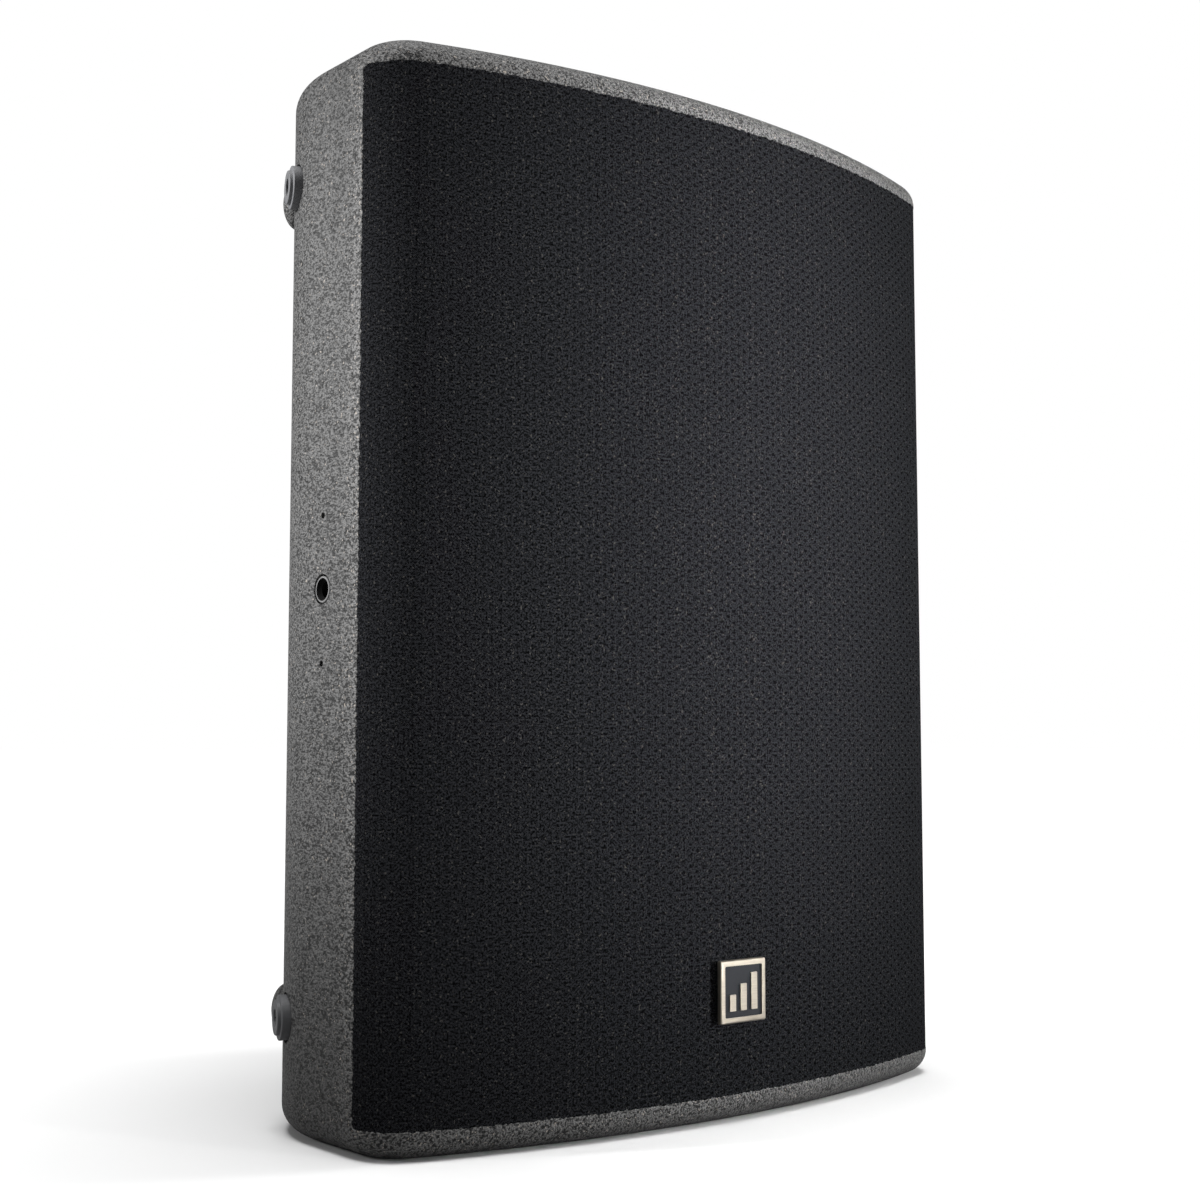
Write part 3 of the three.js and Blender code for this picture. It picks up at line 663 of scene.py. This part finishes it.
def side_panel_mesh():
    arcs = [SIDE_EDGE, REAR_ROUND]
    rows = 20
    levels = [PANEL + (HEIGHT - 2 * PANEL) * i / rows for i in range(rows + 1)]
    wall = band(half(arcs, 0), half(arcs, PANEL), levels)
    insert_y = centre("side_insert_right")[1]
    through = PANEL + 1 * MM

    def through_side(cutter, z):
        turn = Matrix.Rotation(-90 * DEG, 4, "Z")
        return moved(cutter, Matrix.Translation((HALF_WIDTH, insert_y, z)) @ turn)

    cutters = [
        through_side(hole(INSERT_HOLE, through), MID),
        through_side(hole(FLANGE_HOLE, FLANGE_HOLE_DEPTH, 0.2 * MM), MID),
    ]
    for z in (MID - PILOT_SPACING, MID + PILOT_SPACING):
        cutters.append(through_side(hole(PILOT_RADIUS, through, 0.2 * MM, segments=24), z))
    return carve(wall, cutters + foot_pockets(REAR_ROUND, SIDE_FOOT_ANGLE, 9 * MM))


def rear_panel_mesh():
    """A flat panel between the rear rounding and the back corner."""
    ends = (REAR_ROUND, BACK_CORNER)
    outer, inner = ([arc.at(WEDGE_ANGLE, inset) for arc in ends] for inset in (0, PANEL))
    return band(outer, inner, [PANEL, HEIGHT - PANEL])


def back_panel_mesh():
    outer, inner = (from_right_to_left([BACK_CORNER], inset) for inset in (0, PANEL))
    wall = band(outer, inner, [PANEL, HEIGHT - PANEL])
    deep, proud = BACK_Y - PANEL - 5 * MM, BACK_Y + 5 * MM
    cup_lip = 7 * MM
    connector_width, connector_height = 76 * MM, 40 * MM
    low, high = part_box("handle_cup")
    cup_width, cup_height = high.x - low.x - 2 * cup_lip, high.z - low.z - 2 * cup_lip
    cutters = [
        shifted(slab(cup_width, cup_height, 12 * MM, deep, proud), z=MID),
        shifted(
            slab(connector_width, connector_height, 4 * MM, deep, proud), z=centre("connector_plate")[2]
        ),
    ]
    for right in foot_pockets(BACK_CORNER, BACK_FOOT_ANGLE, 12 * MM):
        cutters += [right, mirror(right)]
    return carve(wall, cutters)


def add_cabinet():
    lower = end_panel_mesh()
    flip = Matrix.Translation((0, 0, HEIGHT)) @ Matrix.Scale(-1, 4, (0, 0, 1))
    upper = moved(lower.copy(), flip)
    piece("painted_end_lower", lower, PAINT, replaces=["end_panel_lower"])
    piece("painted_end_upper", upper, PAINT, replaces=["end_panel_upper"])
    side, rear = side_panel_mesh(), rear_panel_mesh()
    for name, sign in SIDES:
        for kind, mesh in (("side", side), ("rear", rear)):
            own = on_side(mesh, sign)
            piece(f"painted_{kind}_{name}", own, PAINT, replaces=[f"{kind}_panel_{name}"])
    piece("painted_back", back_panel_mesh(), PAINT, replaces=["back_panel"])


# ---------------- grille and badge


def add_cloth():
    """The cloth, with each point's place on the flat sheet kept for its weave."""
    rows, clearance = 24, 0.15 * MM
    outer, inner = across_front(0.25 * MM), across_front(CLOTH)
    low, high = PANEL + clearance, HEIGHT - PANEL - clearance
    mesh = band(outer, inner, [low + (high - low) * i / rows for i in range(rows + 1)])
    lengths = [0.0]
    for a, b in zip(outer, outer[1:]):
        lengths.append(lengths[-1] + math.dist(a, b))
    middle = lengths[len(lengths) // 2]
    place = mesh.attributes.new("cloth_place", "FLOAT_VECTOR", "POINT")
    ring = len(outer) + len(inner)
    for vertex in mesh.vertices:
        column = vertex.index % ring
        column = min(column, ring - 1 - column)
        place.data[vertex.index].vector = (lengths[column] - middle, vertex.co.z, 0)
    cloth = piece("grille_cloth_skin", mesh, CLOTH_LOOK, replaces=["grille_cloth"])


def opening_stations(low, high, spacing):
    """Points round the grille's opening, each with its outward angle and the way over the cloth."""
    right = []
    for arc, steps in ((BOW, 240), (FRONT_CORNER, 45)):
        right += [(*arc.at(angle), angle) for angle in arc.angles(steps)]
    line = [(-x, y, 180 * DEG - angle) for x, y, angle in reversed(right)] + right[1:]
    rows = round((high - low) / spacing)
    levels = [low + (high - low) * i / rows for i in range(1, rows)]
    left_x, left_y, left_angle = line[0]
    right_x, right_y, right_angle = line[-1]
    over_right = (math.sin(right_angle), -math.cos(right_angle), 0)
    over_left = (-over_right[0], over_right[1], 0)
    stations = [((x, y, low), angle, (0, 0, 1)) for x, y, angle in line]
    stations += [((right_x, right_y, z), right_angle, over_right) for z in levels]
    stations += [((x, y, high), angle, (0, 0, -1)) for x, y, angle in reversed(line)]
    stations += [((left_x, left_y, z), left_angle, over_left) for z in reversed(levels)]
    return stations


def paint_edge_mesh():
    """The uneven edge that the sprayed paint leaves all round the cloth, as one closed strip."""
    corner_radius, under = 3.5 * MM, 0.9 * MM
    least_reach, mean_reach, most_reach, uneven_reach = 0.1 * MM, 0.75 * MM, 1.9 * MM, 0.9 * MM
    low, high = PANEL, HEIGHT - PANEL
    end_of_line = FRONT_CORNER.points()[-1]
    stations = opening_stations(low, high, 0.9 * MM)
    vertices, faces = [], []
    for place, angle, over in stations:
        place, over = Vector(place), Vector(over)
        outward = Vector((math.cos(angle), math.sin(angle), 0))
        uneven = noise.noise(place / (1.6 * MM)) + 0.5 * noise.noise(place / (0.7 * MM) + over)
        reach = min(max(mean_reach + uneven_reach * uneven, least_reach), most_reach)
        # the four corners of the opening are rounded off
        from_side = math.dist((abs(place.x), place.y), end_of_line)
        from_corner = max(from_side, min(place.z - low, high - place.z))
        if from_corner < corner_radius:
            reach += corner_radius - math.sqrt(corner_radius**2 - (corner_radius - from_corner) ** 2)
        section = [(-under, -0.1 * MM), (0, -0.04 * MM), (reach * 0.7, -0.06 * MM)]
        section += [(reach, -0.4 * MM), (-under, -0.6 * MM)]
        vertices += [place + over * along + outward * out for along, out in section]
    sides = len(section)
    for i in range(len(stations)):
        here, there = i * sides, (i + 1) % len(stations) * sides
        for k in range(sides):
            after = (k + 1) % sides
            faces.append((here + k, here + after, there + after, there + k))
    return mesh_from(vertices, faces, 50)


def badge_mesh():
    """A plate with an inked field sunk in its face, where three bars of rising height stand."""
    low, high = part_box("badge_plate")
    face, floor = low.y, low.y + BADGE_RECESS
    width, height = high.x - low.x, high.z - low.z
    field_width, field_height = width - 2 * BADGE_BORDER, height - 2 * BADGE_BORDER
    field = slab(field_width, field_height, 1 * MM, floor, face - 2 * MM)
    bar_width = (field_width - 4 * BADGE_BAR_GAP) / 3
    bars = []
    for step in (-1, 0, 1):
        bar_height = field_height * (0.52 + 0.2 * step)
        bar = slab(bar_width, bar_height, 0.3 * MM, floor + 1 * MM, face - 3 * MM)
        z = (bar_height - field_height) / 2 + BADGE_BAR_GAP
        bars.append(shifted(bar, x=step * (bar_width + BADGE_BAR_GAP), z=z))
    plate = slab(width, height, 1.2 * MM, high.y, face, 0.9 * MM)
    return shifted(carve(plate, [carve(field, bars)]), z=centre("badge_plate")[2]), floor


def add_badge():
    mesh, floor = badge_mesh()
    badge = piece("badge", mesh, NICKEL, body="badge", replaces=["badge_plate"])
    badge.data.materials.append(INK)
    for polygon in badge.data.polygons:
        if polygon.normal.y < -0.9 and abs(polygon.center.y - floor) < 0.1 * MM:
            polygon.material_index = 1


# ---------------- screws, feet, skids and inserts


def cross_screw(radius, top, depth=2 * MM):
    """A round-headed screw with a cross recess, about Y, its highest point at top."""
    rise = 0.9 * MM
    dome = [(0, top - depth), (radius, top - depth)]
    for angle in quarter_turn(6)[:-1]:
        dome.append((radius * math.cos(angle), top - rise + rise * math.sin(angle)))
    dome.append((0, top))
    slot_width, slot_length = radius * 0.26, radius * 1.15
    cutters = []
    for turn in (0, 90 * DEG):
        bar = slab(slot_length, slot_width, slot_width * 0.2, top - rise, top + 1 * MM)
        cutters.append(moved(bar, Matrix.Rotation(turn, 4, "Y")))
    return carve(lathe(dome, 32), cutters)


def add_corner_screws(name, screw, plate, from_side, from_end_edge, sunk):
    """Four screws in the corners of a plate on the back."""
    low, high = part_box(plate)
    x, z = (high.x - low.x) / 2 - from_side, (high.z - low.z) / 2 - from_end_edge
    for corner, end, sign in corners():
        level = centre(plate)[2] + (z if end else -z)
        spot = shifted(screw.copy(), x=sign * x, y=high.y - sunk, z=level)
        piece(f"{name}_{corner}", spot, BLACK_SCREW)


def foot_mesh(rise):
    base = 0.3 * MM - FOOT_POCKET_DEPTH
    step, wide, tip, recess = FOOT_STEP_RISE, FOOT_BASE_RADIUS, FOOT_TIP_RADIUS, FOOT_RECESS_RADIUS
    soft = 0.5 * MM
    profile = [(0, base), (wide - soft, base), (wide, base + soft)]
    profile += rounding(wide - soft, step - soft, soft)
    profile += [(tip + soft * 0.6, step), (tip + soft * 0.15, step + soft * 0.2), (tip, step + soft * 0.8)]
    profile += rounding(tip - soft, rise - soft, soft)
    profile += [(recess + soft, rise), (recess + soft * 0.3, rise - soft * 0.3), (recess, rise - soft)]
    profile += [(recess, rise - FOOT_RECESS_DEPTH), (0, rise - FOOT_RECESS_DEPTH)]
    return lathe(profile)


def add_feet():
    kinds = (
        ("side_foot", REAR_ROUND, SIDE_FOOT_ANGLE, SIDE_FOOT_RISE),
        ("back_foot", BACK_CORNER, BACK_FOOT_ANGLE, BACK_FOOT_RISE),
    )
    for kind, arc, angle, rise in kinds:
        rubber = foot_mesh(rise)
        screw = cross_screw(4.0 * MM, rise - 0.5 * MM)
        for corner, end, sign in corners():
            z = from_end(FOOT_FROM_END, end)
            node = f"{kind}_{corner}"
            foot = on_side(stand_on_arc(rubber, arc, angle, z), sign)
            piece(f"{node}_rubber", foot, RUBBER, replaces=[node])
            head = on_side(stand_on_arc(screw, arc, angle, z), sign)
            piece(f"{node}_screw", head, BLACK_SCREW)


def add_skids():
    """Domed glides on the rear faces, their rims sunk a little into the paint."""
    sunk = 0.6 * MM
    profile = [(0, -sunk), (SKID_RADIUS, -sunk)]
    for angle in quarter_turn(20)[:-1]:
        profile.append((SKID_RADIUS * math.cos(angle), SKID_HEIGHT * math.sin(angle)))
    dome = lathe([*profile, (0, SKID_HEIGHT)], sharp=60)
    x, y = REAR_ROUND.at(WEDGE_ANGLE)
    x -= math.sin(WEDGE_ANGLE) * SKID_FROM_ROUND
    y += math.cos(WEDGE_ANGLE) * SKID_FROM_ROUND
    turn = Matrix.Rotation(WEDGE_ANGLE - 90 * DEG, 4, "Z")
    for corner, end, sign in corners():
        place = Matrix.Translation((x, y, from_end(FOOT_FROM_END, end)))
        own = on_side(moved(dome.copy(), place @ turn), sign)
        piece(f"skid_{corner}_dome", own, PAINT, replaces=[f"skid_{corner}"])


def insert_mesh():
    """A flanged insert about Y with its thread cut as a stack of ridges."""
    flange_back, flange_face, chamfer_end = -3.5 * MM, -0.2 * MM, -1.6 * MM
    break_edge = 0.3 * MM
    profile = [
        (INSERT_SHOULDER, -PANEL), (INSERT_SHOULDER, flange_back), (INSERT_FLANGE, flange_back),
        (INSERT_FLANGE, flange_face - break_edge), (INSERT_FLANGE - break_edge, flange_face),
        (INSERT_SHOULDER, flange_face), (INSERT_BORE + 0.5 * MM, chamfer_end),
    ]
    y = -2 * MM
    while y > THREAD_PITCH - PANEL:
        profile.append((INSERT_BORE - 0.45 * MM, y - THREAD_PITCH / 2))
        profile.append((INSERT_BORE + 0.2 * MM, y - THREAD_PITCH))
        y -= THREAD_PITCH
    profile.append((INSERT_BORE, -PANEL))
    return lathe(profile, closed=True, sharp=30)


def add_inserts():
    _, y, z = centre("side_insert_right")
    place = Matrix.Translation((HALF_WIDTH, y, z)) @ Matrix.Rotation(-90 * DEG, 4, "Z")
    right = moved(insert_mesh(), place)
    for name, sign in SIDES:
        node = f"side_insert_{name}"
        own = on_side(right, sign)
        insert = piece(f"{node}_threaded", own, PAINT_ON_METAL, replaces=[node])
        insert.data.materials.append(BORE_SHADE)
        # the bore and thread inside the shoulder take the near-black material, painted shade in the hole
        for polygon in insert.data.polygons:
            off_axis = math.hypot(polygon.center.y - y, polygon.center.z - z)
            if off_axis < INSERT_SHOULDER:
                polygon.material_index = 1


# ---------------- handle and connectors

ON_PAINT = BACK_Y + 0.02 * MM  # where rim and plate rest on the back panel


def add_handle_cup():
    low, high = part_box("handle_cup")
    width, height = high.x - low.x, high.z - low.z
    floor, face = low.y, high.y
    wall, lip = 3 * MM, 8 * MM
    body_width, body_height = width - 2 * lip, height - 2 * lip
    inner_width, inner_height = body_width - 2 * wall, body_height - 2 * wall
    rim = slab(width, height, 14 * MM, ON_PAINT, face, 1.2 * MM)
    body = slab(body_width, body_height, 11 * MM, ON_PAINT + 1 * MM, floor, 4 * MM)
    hollow = slab(inner_width, inner_height, 8 * MM, face + 2 * MM, floor + wall, 6 * MM)
    rim, body, hollow = (shifted(mesh, z=MID) for mesh in (rim, body, hollow))
    cup = carve(carve(rim, [body], "UNION"), [hollow])
    piece("handle_cup_moulding", cup, PLASTIC, replaces=["handle_cup"])


def add_handle_grip():
    """A soft sleeve with ribs all along it, a little thicker in the middle."""
    ribs, steps_per_rib, rib_depth = 22, 4, 0.5 * MM
    low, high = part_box("handle_grip")
    radius, reach = (high.x - low.x) / 2, (high.z - low.z) / 2
    neck, span = radius * 0.9, reach * 0.82
    profile = [(0, -reach), (neck, -reach), (neck, -span)]
    for i in range(ribs * steps_per_rib + 1):
        t = i / (ribs * steps_per_rib)
        ripple = rib_depth * (1 - abs(math.sin(t * ribs * math.pi)) ** 0.5)
        swell = radius * (0.93 + 0.04 * math.sin(t * math.pi))
        profile.append((swell - ripple, -span + 2 * span * t))
    profile += [(neck, span), (neck, reach), (0, reach)]
    upright = Matrix.Translation((0, centre("handle_grip")[1], MID)) @ Matrix.Rotation(90 * DEG, 4, "X")
    grip = moved(lathe(profile, 48, sharp=50), upright)
    piece("handle_grip_ribbed", grip, RUBBER, replaces=["handle_grip"])


def add_handle():
    add_handle_cup()
    add_handle_grip()
    screw = cross_screw(3.4 * MM, 1.3 * MM, 1.2 * MM)
    add_corner_screws("handle_screw", screw, "handle_cup", 10 * MM, 6.5 * MM, 0.4 * MM)


def plug(radius, y0, y1):
    """A plain round solid about Y."""
    return lathe([(0, y0), (radius, y0), (radius, y1), (0, y1)])


def socket_mesh(face, proud, back, floor):
    """A four-pole locking socket about Y: square flange, round mouth with two key slots."""
    above = proud + 3 * MM
    mouth_radius, mouth_lip = 10.4 * MM, 10.9 * MM
    flange = slab(26 * MM, 31 * MM, 3 * MM, face, proud, 0.6 * MM)
    collar = plug(12.2 * MM, face, proud + 0.1 * MM)
    barrel = plug(12 * MM, back, face + 0.5 * MM)
    mouth = lathe([
        (0, floor), (mouth_radius, floor), (mouth_radius, proud - 0.6 * MM), (mouth_lip, proud),
        (mouth_lip, above), (0, above),
    ])
    key = slab(4 * MM, 3 * MM, 0.5 * MM, floor + 4 * MM, above)
    keys = [shifted(key.copy(), z=sign * 10.6 * MM) for sign in (-1, 1)]
    return carve(carve(flange, [collar, barrel], "UNION"), [mouth, *keys])


def socket_core(floor, proud):
    """The round post in the middle of a socket, its end bevelled."""
    radius, bevel, end = 3.8 * MM, 0.6 * MM, proud - 3.2 * MM
    base = floor + 0.1 * MM
    profile = [(0, base), (radius, base), (radius, proud - 4 * MM), (radius - bevel, end), (0, end)]
    return lathe(profile, 48)


def add_socket(name, screw):
    low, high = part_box(f"{name}_socket")
    plate_z = centre("connector_plate")[2]
    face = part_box("connector_plate")[1].y + 0.05 * MM
    floor = low.y + 6 * MM

    def place(label, mesh, look, slot, x=0.0, y=0.0, z=0.0, replaces=()):
        own = shifted(mesh, x=centre(f"{name}_socket")[0] + x, y=y, z=plate_z + z)
        piece(f"{name}_{label}", own, look, replaces=replaces)

    shell = socket_mesh(face, high.y, low.y, floor)
    place("socket_shell", shell, PLASTIC, "plastic", replaces=[f"{name}_socket"])
    place("socket_core", socket_core(floor, high.y), PLASTIC, "plastic")
    contact_circle = 7.2 * MM
    for i in range(4):
        angle = (45 + 90 * i) * DEG
        contact = slab(1.6 * MM, 0.8 * MM, 0.2 * MM, floor + 0.1 * MM, floor + 11 * MM)
        turned = moved(contact, Matrix.Rotation(90 * DEG - angle, 4, "Y"))
        x, z = contact_circle * math.cos(angle), contact_circle * math.sin(angle)
        place(f"contact_{i + 1}", turned, BRASS, "zinc", x=x, z=z)
    for i, side in enumerate((-1, 1)):
        x, z = side * 10 * MM, -side * 12.6 * MM
        place(f"socket_screw_{i + 1}", screw.copy(), BLACK_SCREW, "zinc", x=x, y=high.y - 0.4 * MM, z=z)


def add_connectors():
    low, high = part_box("connector_plate")
    plate_z = centre("connector_plate")[2]
    plate = slab(high.x - low.x, high.z - low.z, 5 * MM, ON_PAINT, high.y, 0.5 * MM)
    names = ("input", "link")
    bore = plug(12.4 * MM, BACK_Y - 5 * MM, BACK_Y + 9 * MM)
    bores = [shifted(bore.copy(), x=centre(f"{name}_socket")[0], z=plate_z) for name in names]
    coated = carve(shifted(plate, z=plate_z), bores)
    piece("connector_plate_coated", coated, BLACK_STEEL, replaces=["connector_plate"])
    small_screw = cross_screw(2.4 * MM, 0.9 * MM, 1.0 * MM)
    for name in names:
        add_socket(name, small_screw)
    screw = cross_screw(3.0 * MM, 1.1 * MM, 1.0 * MM)
    add_corner_screws("connector_plate_screw", screw, "connector_plate", 7 * MM, 7 * MM, 0.3 * MM)


# ---------------- drive unit and ports


def on_axis(profile, segments=96, sharp=35.0):
    """A ring about the drive unit's axis, from a closed profile in [radius, y]."""
    return shifted(lathe(profile, segments, closed=True, sharp=sharp), z=MID)


def eased_ring(inner, outer, front, back, edge=0.5 * MM):
    """A flat ring with its edges broken."""
    return on_axis([
        (inner + edge, front), (outer - edge, front), (outer, front + edge), (outer, back - edge),
        (outer - edge, back), (inner + edge, back), (inner, back - edge), (inner, front + edge),
    ])


def sheet_profile(line, thickness):
    """A closed profile from a line of [radius, y] points and the same line set back."""
    return line + [(radius, y + thickness) for radius, y in reversed(line)]


def flexing(name, mesh, material, node, cone_radius, frame_radius):
    """A ring that follows the frame at one edge and the cone at the other."""
    ring = piece(name, mesh, material, body=None, replaces=[node])
    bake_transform(ring, "cabinet", "cone", start=(frame_radius, 0, MID), end=(cone_radius, 0, MID))
    # bake_transform() weights along a line, and a ring's flex runs along its radius
    weights = ring.data.attributes["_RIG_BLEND"].data
    for vertex, weight in zip(ring.data.vertices, weights):
        radius = math.hypot(vertex.co.x, vertex.co.z - MID)
        t = min(max((radius - frame_radius) / (cone_radius - frame_radius), 0), 1)
        weight.value = t * t * (3 - 2 * t)


def add_cone():
    """A dished cone, steeper towards its neck, with shallow ribs round it."""
    steps, ribs, rib_height, thickness = 24, 9, 0.25 * MM, 1.5 * MM
    front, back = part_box("driver_cone")
    neck, neck_y = COIL_RADIUS + 0.3 * MM, back.y - 1.6 * MM
    line = []
    for i in range(steps + 1):
        t = i / steps
        y = neck_y - (neck_y - front.y) * (t - 0.35 * t * (1 - t))
        rib = rib_height * math.sin(t * ribs * 2 * math.pi) * (1 - t) * t * 4
        line.append((neck + (CONE_RIM - neck) * t, y + rib))
    cone = on_axis(sheet_profile(line, thickness), 128, sharp=50)
    piece("cone_paper", cone, PULP, body="cone", replaces=["driver_cone"])


def add_surround():
    """A half roll between the cone's rim and the frame."""
    steps, roll, thickness = 16, 9 * MM, 0.9 * MM
    low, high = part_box("driver_surround")
    outer, lip = (high.x - low.x) / 2, high.y - 1.2 * MM
    middle = outer - 9.6 * MM
    line = [(CONE_RIM - 3 * MM, lip)]
    for i in range(steps + 1):
        angle = (1 - i / steps) * 180 * DEG
        line.append((middle + roll * math.cos(angle), lip - roll * math.sin(angle)))
    line.append((outer - 0.1 * MM, lip))
    ring = on_axis(sheet_profile(line, thickness), 128, sharp=60)
    flexing("surround_roll", ring, RUBBER, "driver_surround", CONE_RIM, middle + roll)


def add_spider():
    """The corrugated cloth disc that centres the voice coil."""
    steps, waves, wave_height, thickness = 60, 7, 1.5 * MM, 0.5 * MM
    low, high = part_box("driver_spider")
    outer, middle_y = (high.x - low.x) / 2, (low.y + high.y) / 2
    inner = COIL_RADIUS + 0.3 * MM
    line = []
    for i in range(steps + 1):
        t = i / steps
        y = middle_y - 0.3 * MM + wave_height * math.sin(t * waves * 2 * math.pi)
        line.append((inner + (outer - inner) * t, y))
    ring = on_axis(sheet_profile(line, thickness), 96, sharp=80)
    coil_edge, frame_edge = COIL_RADIUS + 2 * MM, outer - 4 * MM
    flexing("spider_corrugated", ring, SPIDER_CLOTH, "driver_spider", coil_edge, frame_edge)


def add_turned_rings():
    rings = (
        ("driver_gasket", 180, 0.6, RUBBER, "cabinet", "rubber"),
        ("voice_coil", 37.5, 0.2, COPPER, "cone", "copper_wire"),
        ("magnet_top_plate", 39.7, 0.6, ZINC, "cabinet", "zinc"),
        ("magnet_ring", 52, 0.6, FERRITE, "cabinet", "ferrite"),
    )
    for node, inner, edge, look, body, slot in rings:
        low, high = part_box(node)
        mesh = eased_ring(inner * MM, (high.x - low.x) / 2, low.y, high.y, edge * MM)
        piece(f"{node}_turned", mesh, look, body=body, replaces=[node])


def add_horn():
    """A horn that flares from a straight throat, its wall a little thicker at the mouth."""
    steps, bore, throat, flare, wall = 24, 12.7 * MM, 15 * MM, 62 * MM, 2.4 * MM
    low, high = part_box("treble_horn")
    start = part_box("magnet_back_plate")[0].y - 12 * MM
    inside = []
    for i in range(steps + 1):
        t = i / steps
        inside.append((throat + flare * t**1.8, start + (low.y - start) * t))
    outside = [(radius + wall, y + 1.2 * MM * i / steps) for i, (radius, y) in enumerate(inside)]
    loop = [(bore, high.y), *inside, *reversed(outside), (18 * MM, start + 4 * MM), (18 * MM, high.y)]
    piece("treble_horn_flared", on_axis(loop), PLASTIC, replaces=["treble_horn"])


def add_drive_unit():
    add_cone()
    add_surround()
    add_spider()
    add_turned_rings()
    add_horn()


def add_ports():
    """Straight port tubes, their front mouths rounded over and their back ends bevelled."""
    lip, flange = 5 * MM, 2.9 * MM
    bore, tube, edge = PORT_BORE, PORT_BORE + PORT_WALL, PORT_WALL / 2
    for corner, _, _ in corners():
        node = f"port_tube_{corner}"
        low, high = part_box(node)
        outer = (high.x - low.x) / 2
        profile = [(bore + lip, low.y), (outer, low.y), (outer, low.y + flange), (tube, low.y + flange)]
        profile += [(tube, high.y - edge), (bore + edge, high.y), (bore, high.y - edge)]
        for angle in quarter_turn(6)[1:-1]:
            profile.append((bore + lip * (1 - math.cos(angle)), low.y + lip * (1 - math.sin(angle))))
        x, _, z = centre(node)
        moulded = shifted(lathe(profile, closed=True), x=x, z=z)
        piece(f"{node}_moulded", moulded, PLASTIC, replaces=[node])


# ---------------- inner pieces keep their CAD shape

INNER_LOOKS = {
    "brace_upper": PLYWOOD, "brace_lower": PLYWOOD, "front_baffle": BLACK_WOOD,
    "grille_batten_left": BLACK_WOOD, "grille_batten_right": BLACK_WOOD, "grille_sheet": BLACK_STEEL,
    "badge_stud": ZINC, "driver_frame": CAST, "magnet_back_plate": ZINC, "treble_driver": BLACK_STEEL,
    "crossover_board": BOARD, "bass_inductor": COPPER, "treble_inductor": COPPER,
    "crossover_capacitor_1": FILM, "crossover_capacitor_2": FILM,
}


def repaint_inner():
    for name, look in INNER_LOOKS.items():
        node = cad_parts[name]
        node.data.materials.clear()
        node.data.materials.append(look)


# ---------------- camera, light and floor

CAMERA_YAW = 39.655 * DEG
CAMERA_PITCH = 4.731 * DEG
CAMERA_LENS = 53.775  # millimetres, on a sensor 36 wide
CAMERA_LEFT = 0.71606
CAMERA_AHEAD = 0.78117  # of the line through the grille's two ends
CAMERA_HEIGHT = 0.2097


def add_camera():
    """Low at the front left, tilted up a little."""
    data = bpy.data.cameras.new("camera")
    data.sensor_width = 36
    data.lens = CAMERA_LENS
    camera = linked("camera", data)
    camera.location = (-CAMERA_LEFT, FRONT_Y + BOW_RISE - CAMERA_AHEAD, CAMERA_HEIGHT)
    camera.rotation_euler = (90 * DEG + CAMERA_PITCH, 0, -CAMERA_YAW)
    bpy.context.scene.camera = camera


def add_light(kind, name, place, target, **settings):
    data = bpy.data.lights.new(name, kind)
    for key, value in settings.items():
        setattr(data, key, value)
    light = linked(name, data)
    light.location = place
    light.rotation_euler = (Vector(target) - Vector(place)).to_track_quat("-Z", "Y").to_euler()


def add_world():
    """White where the camera looks, and only a dim even light on the object."""
    world = bpy.data.worlds.new("studio")
    bpy.context.scene.world = world
    world.use_nodes = True
    tree = world.node_tree
    background = tree.nodes["Background"]
    path = tree.nodes.new("ShaderNodeLightPath")
    level = tree.nodes.new("ShaderNodeMapRange")
    level.inputs["To Min"].default_value = 0.1
    level.inputs["To Max"].default_value = 1.0
    tree.links.new(path.outputs["Is Camera Ray"], level.inputs["Value"])
    tree.links.new(level.outputs["Result"], background.inputs["Strength"])
    background.inputs["Color"].default_value = (1, 1, 1, 1)


def add_floor():
    reach = 200
    edges = [(-reach, -reach, 0), (reach, -reach, 0), (reach, reach, 0), (-reach, reach, 0)]
    floor_mesh = mesh_from(edges, [(0, 1, 2, 3)])
    floor_mesh.materials.append(FLOOR_LOOK)
    floor = linked("floor", floor_mesh)
    floor.location.z = CAD_BOUNDS[0][2] - 0.1 * MM


def add_studio():
    """A hard key on the side panel, soft light over the grille, and an even light from above."""
    bpy.context.scene.view_settings.view_transform = "Standard"
    add_world()
    add_floor()
    add_light("SUN", "overhead", (0, 0, 3), (0, 0, 0), energy=3.5, angle=40 * DEG)
    add_light(
        "SPOT", "key_left", (-2.1, 0.8, 1.2), (-0.2, 0, 0.395),
        energy=572, spot_size=17 * DEG, spot_blend=1.0, shadow_soft_size=0.12,
    )
    add_light(
        "AREA", "front_right", (2.2, -1.0, 0.65), (0.1, -0.1, 0.42),
        energy=47, shape="RECTANGLE", size=0.6, size_y=0.8,
    )
    add_light(
        "AREA", "front_strip", (0.55, -1.7, 0.5), (0.02, -0.153, 0.38),
        energy=1.9, shape="RECTANGLE", size=0.12, size_y=0.55, spread=20 * DEG,
    )


add_camera()
add_studio()
add_cabinet()
add_cloth()
piece("paint_edge_round_cloth", paint_edge_mesh(), PAINT)
add_badge()
add_drive_unit()
add_ports()
add_feet()
add_skids()
add_inserts()
add_handle()
add_connectors()
repaint_inner()
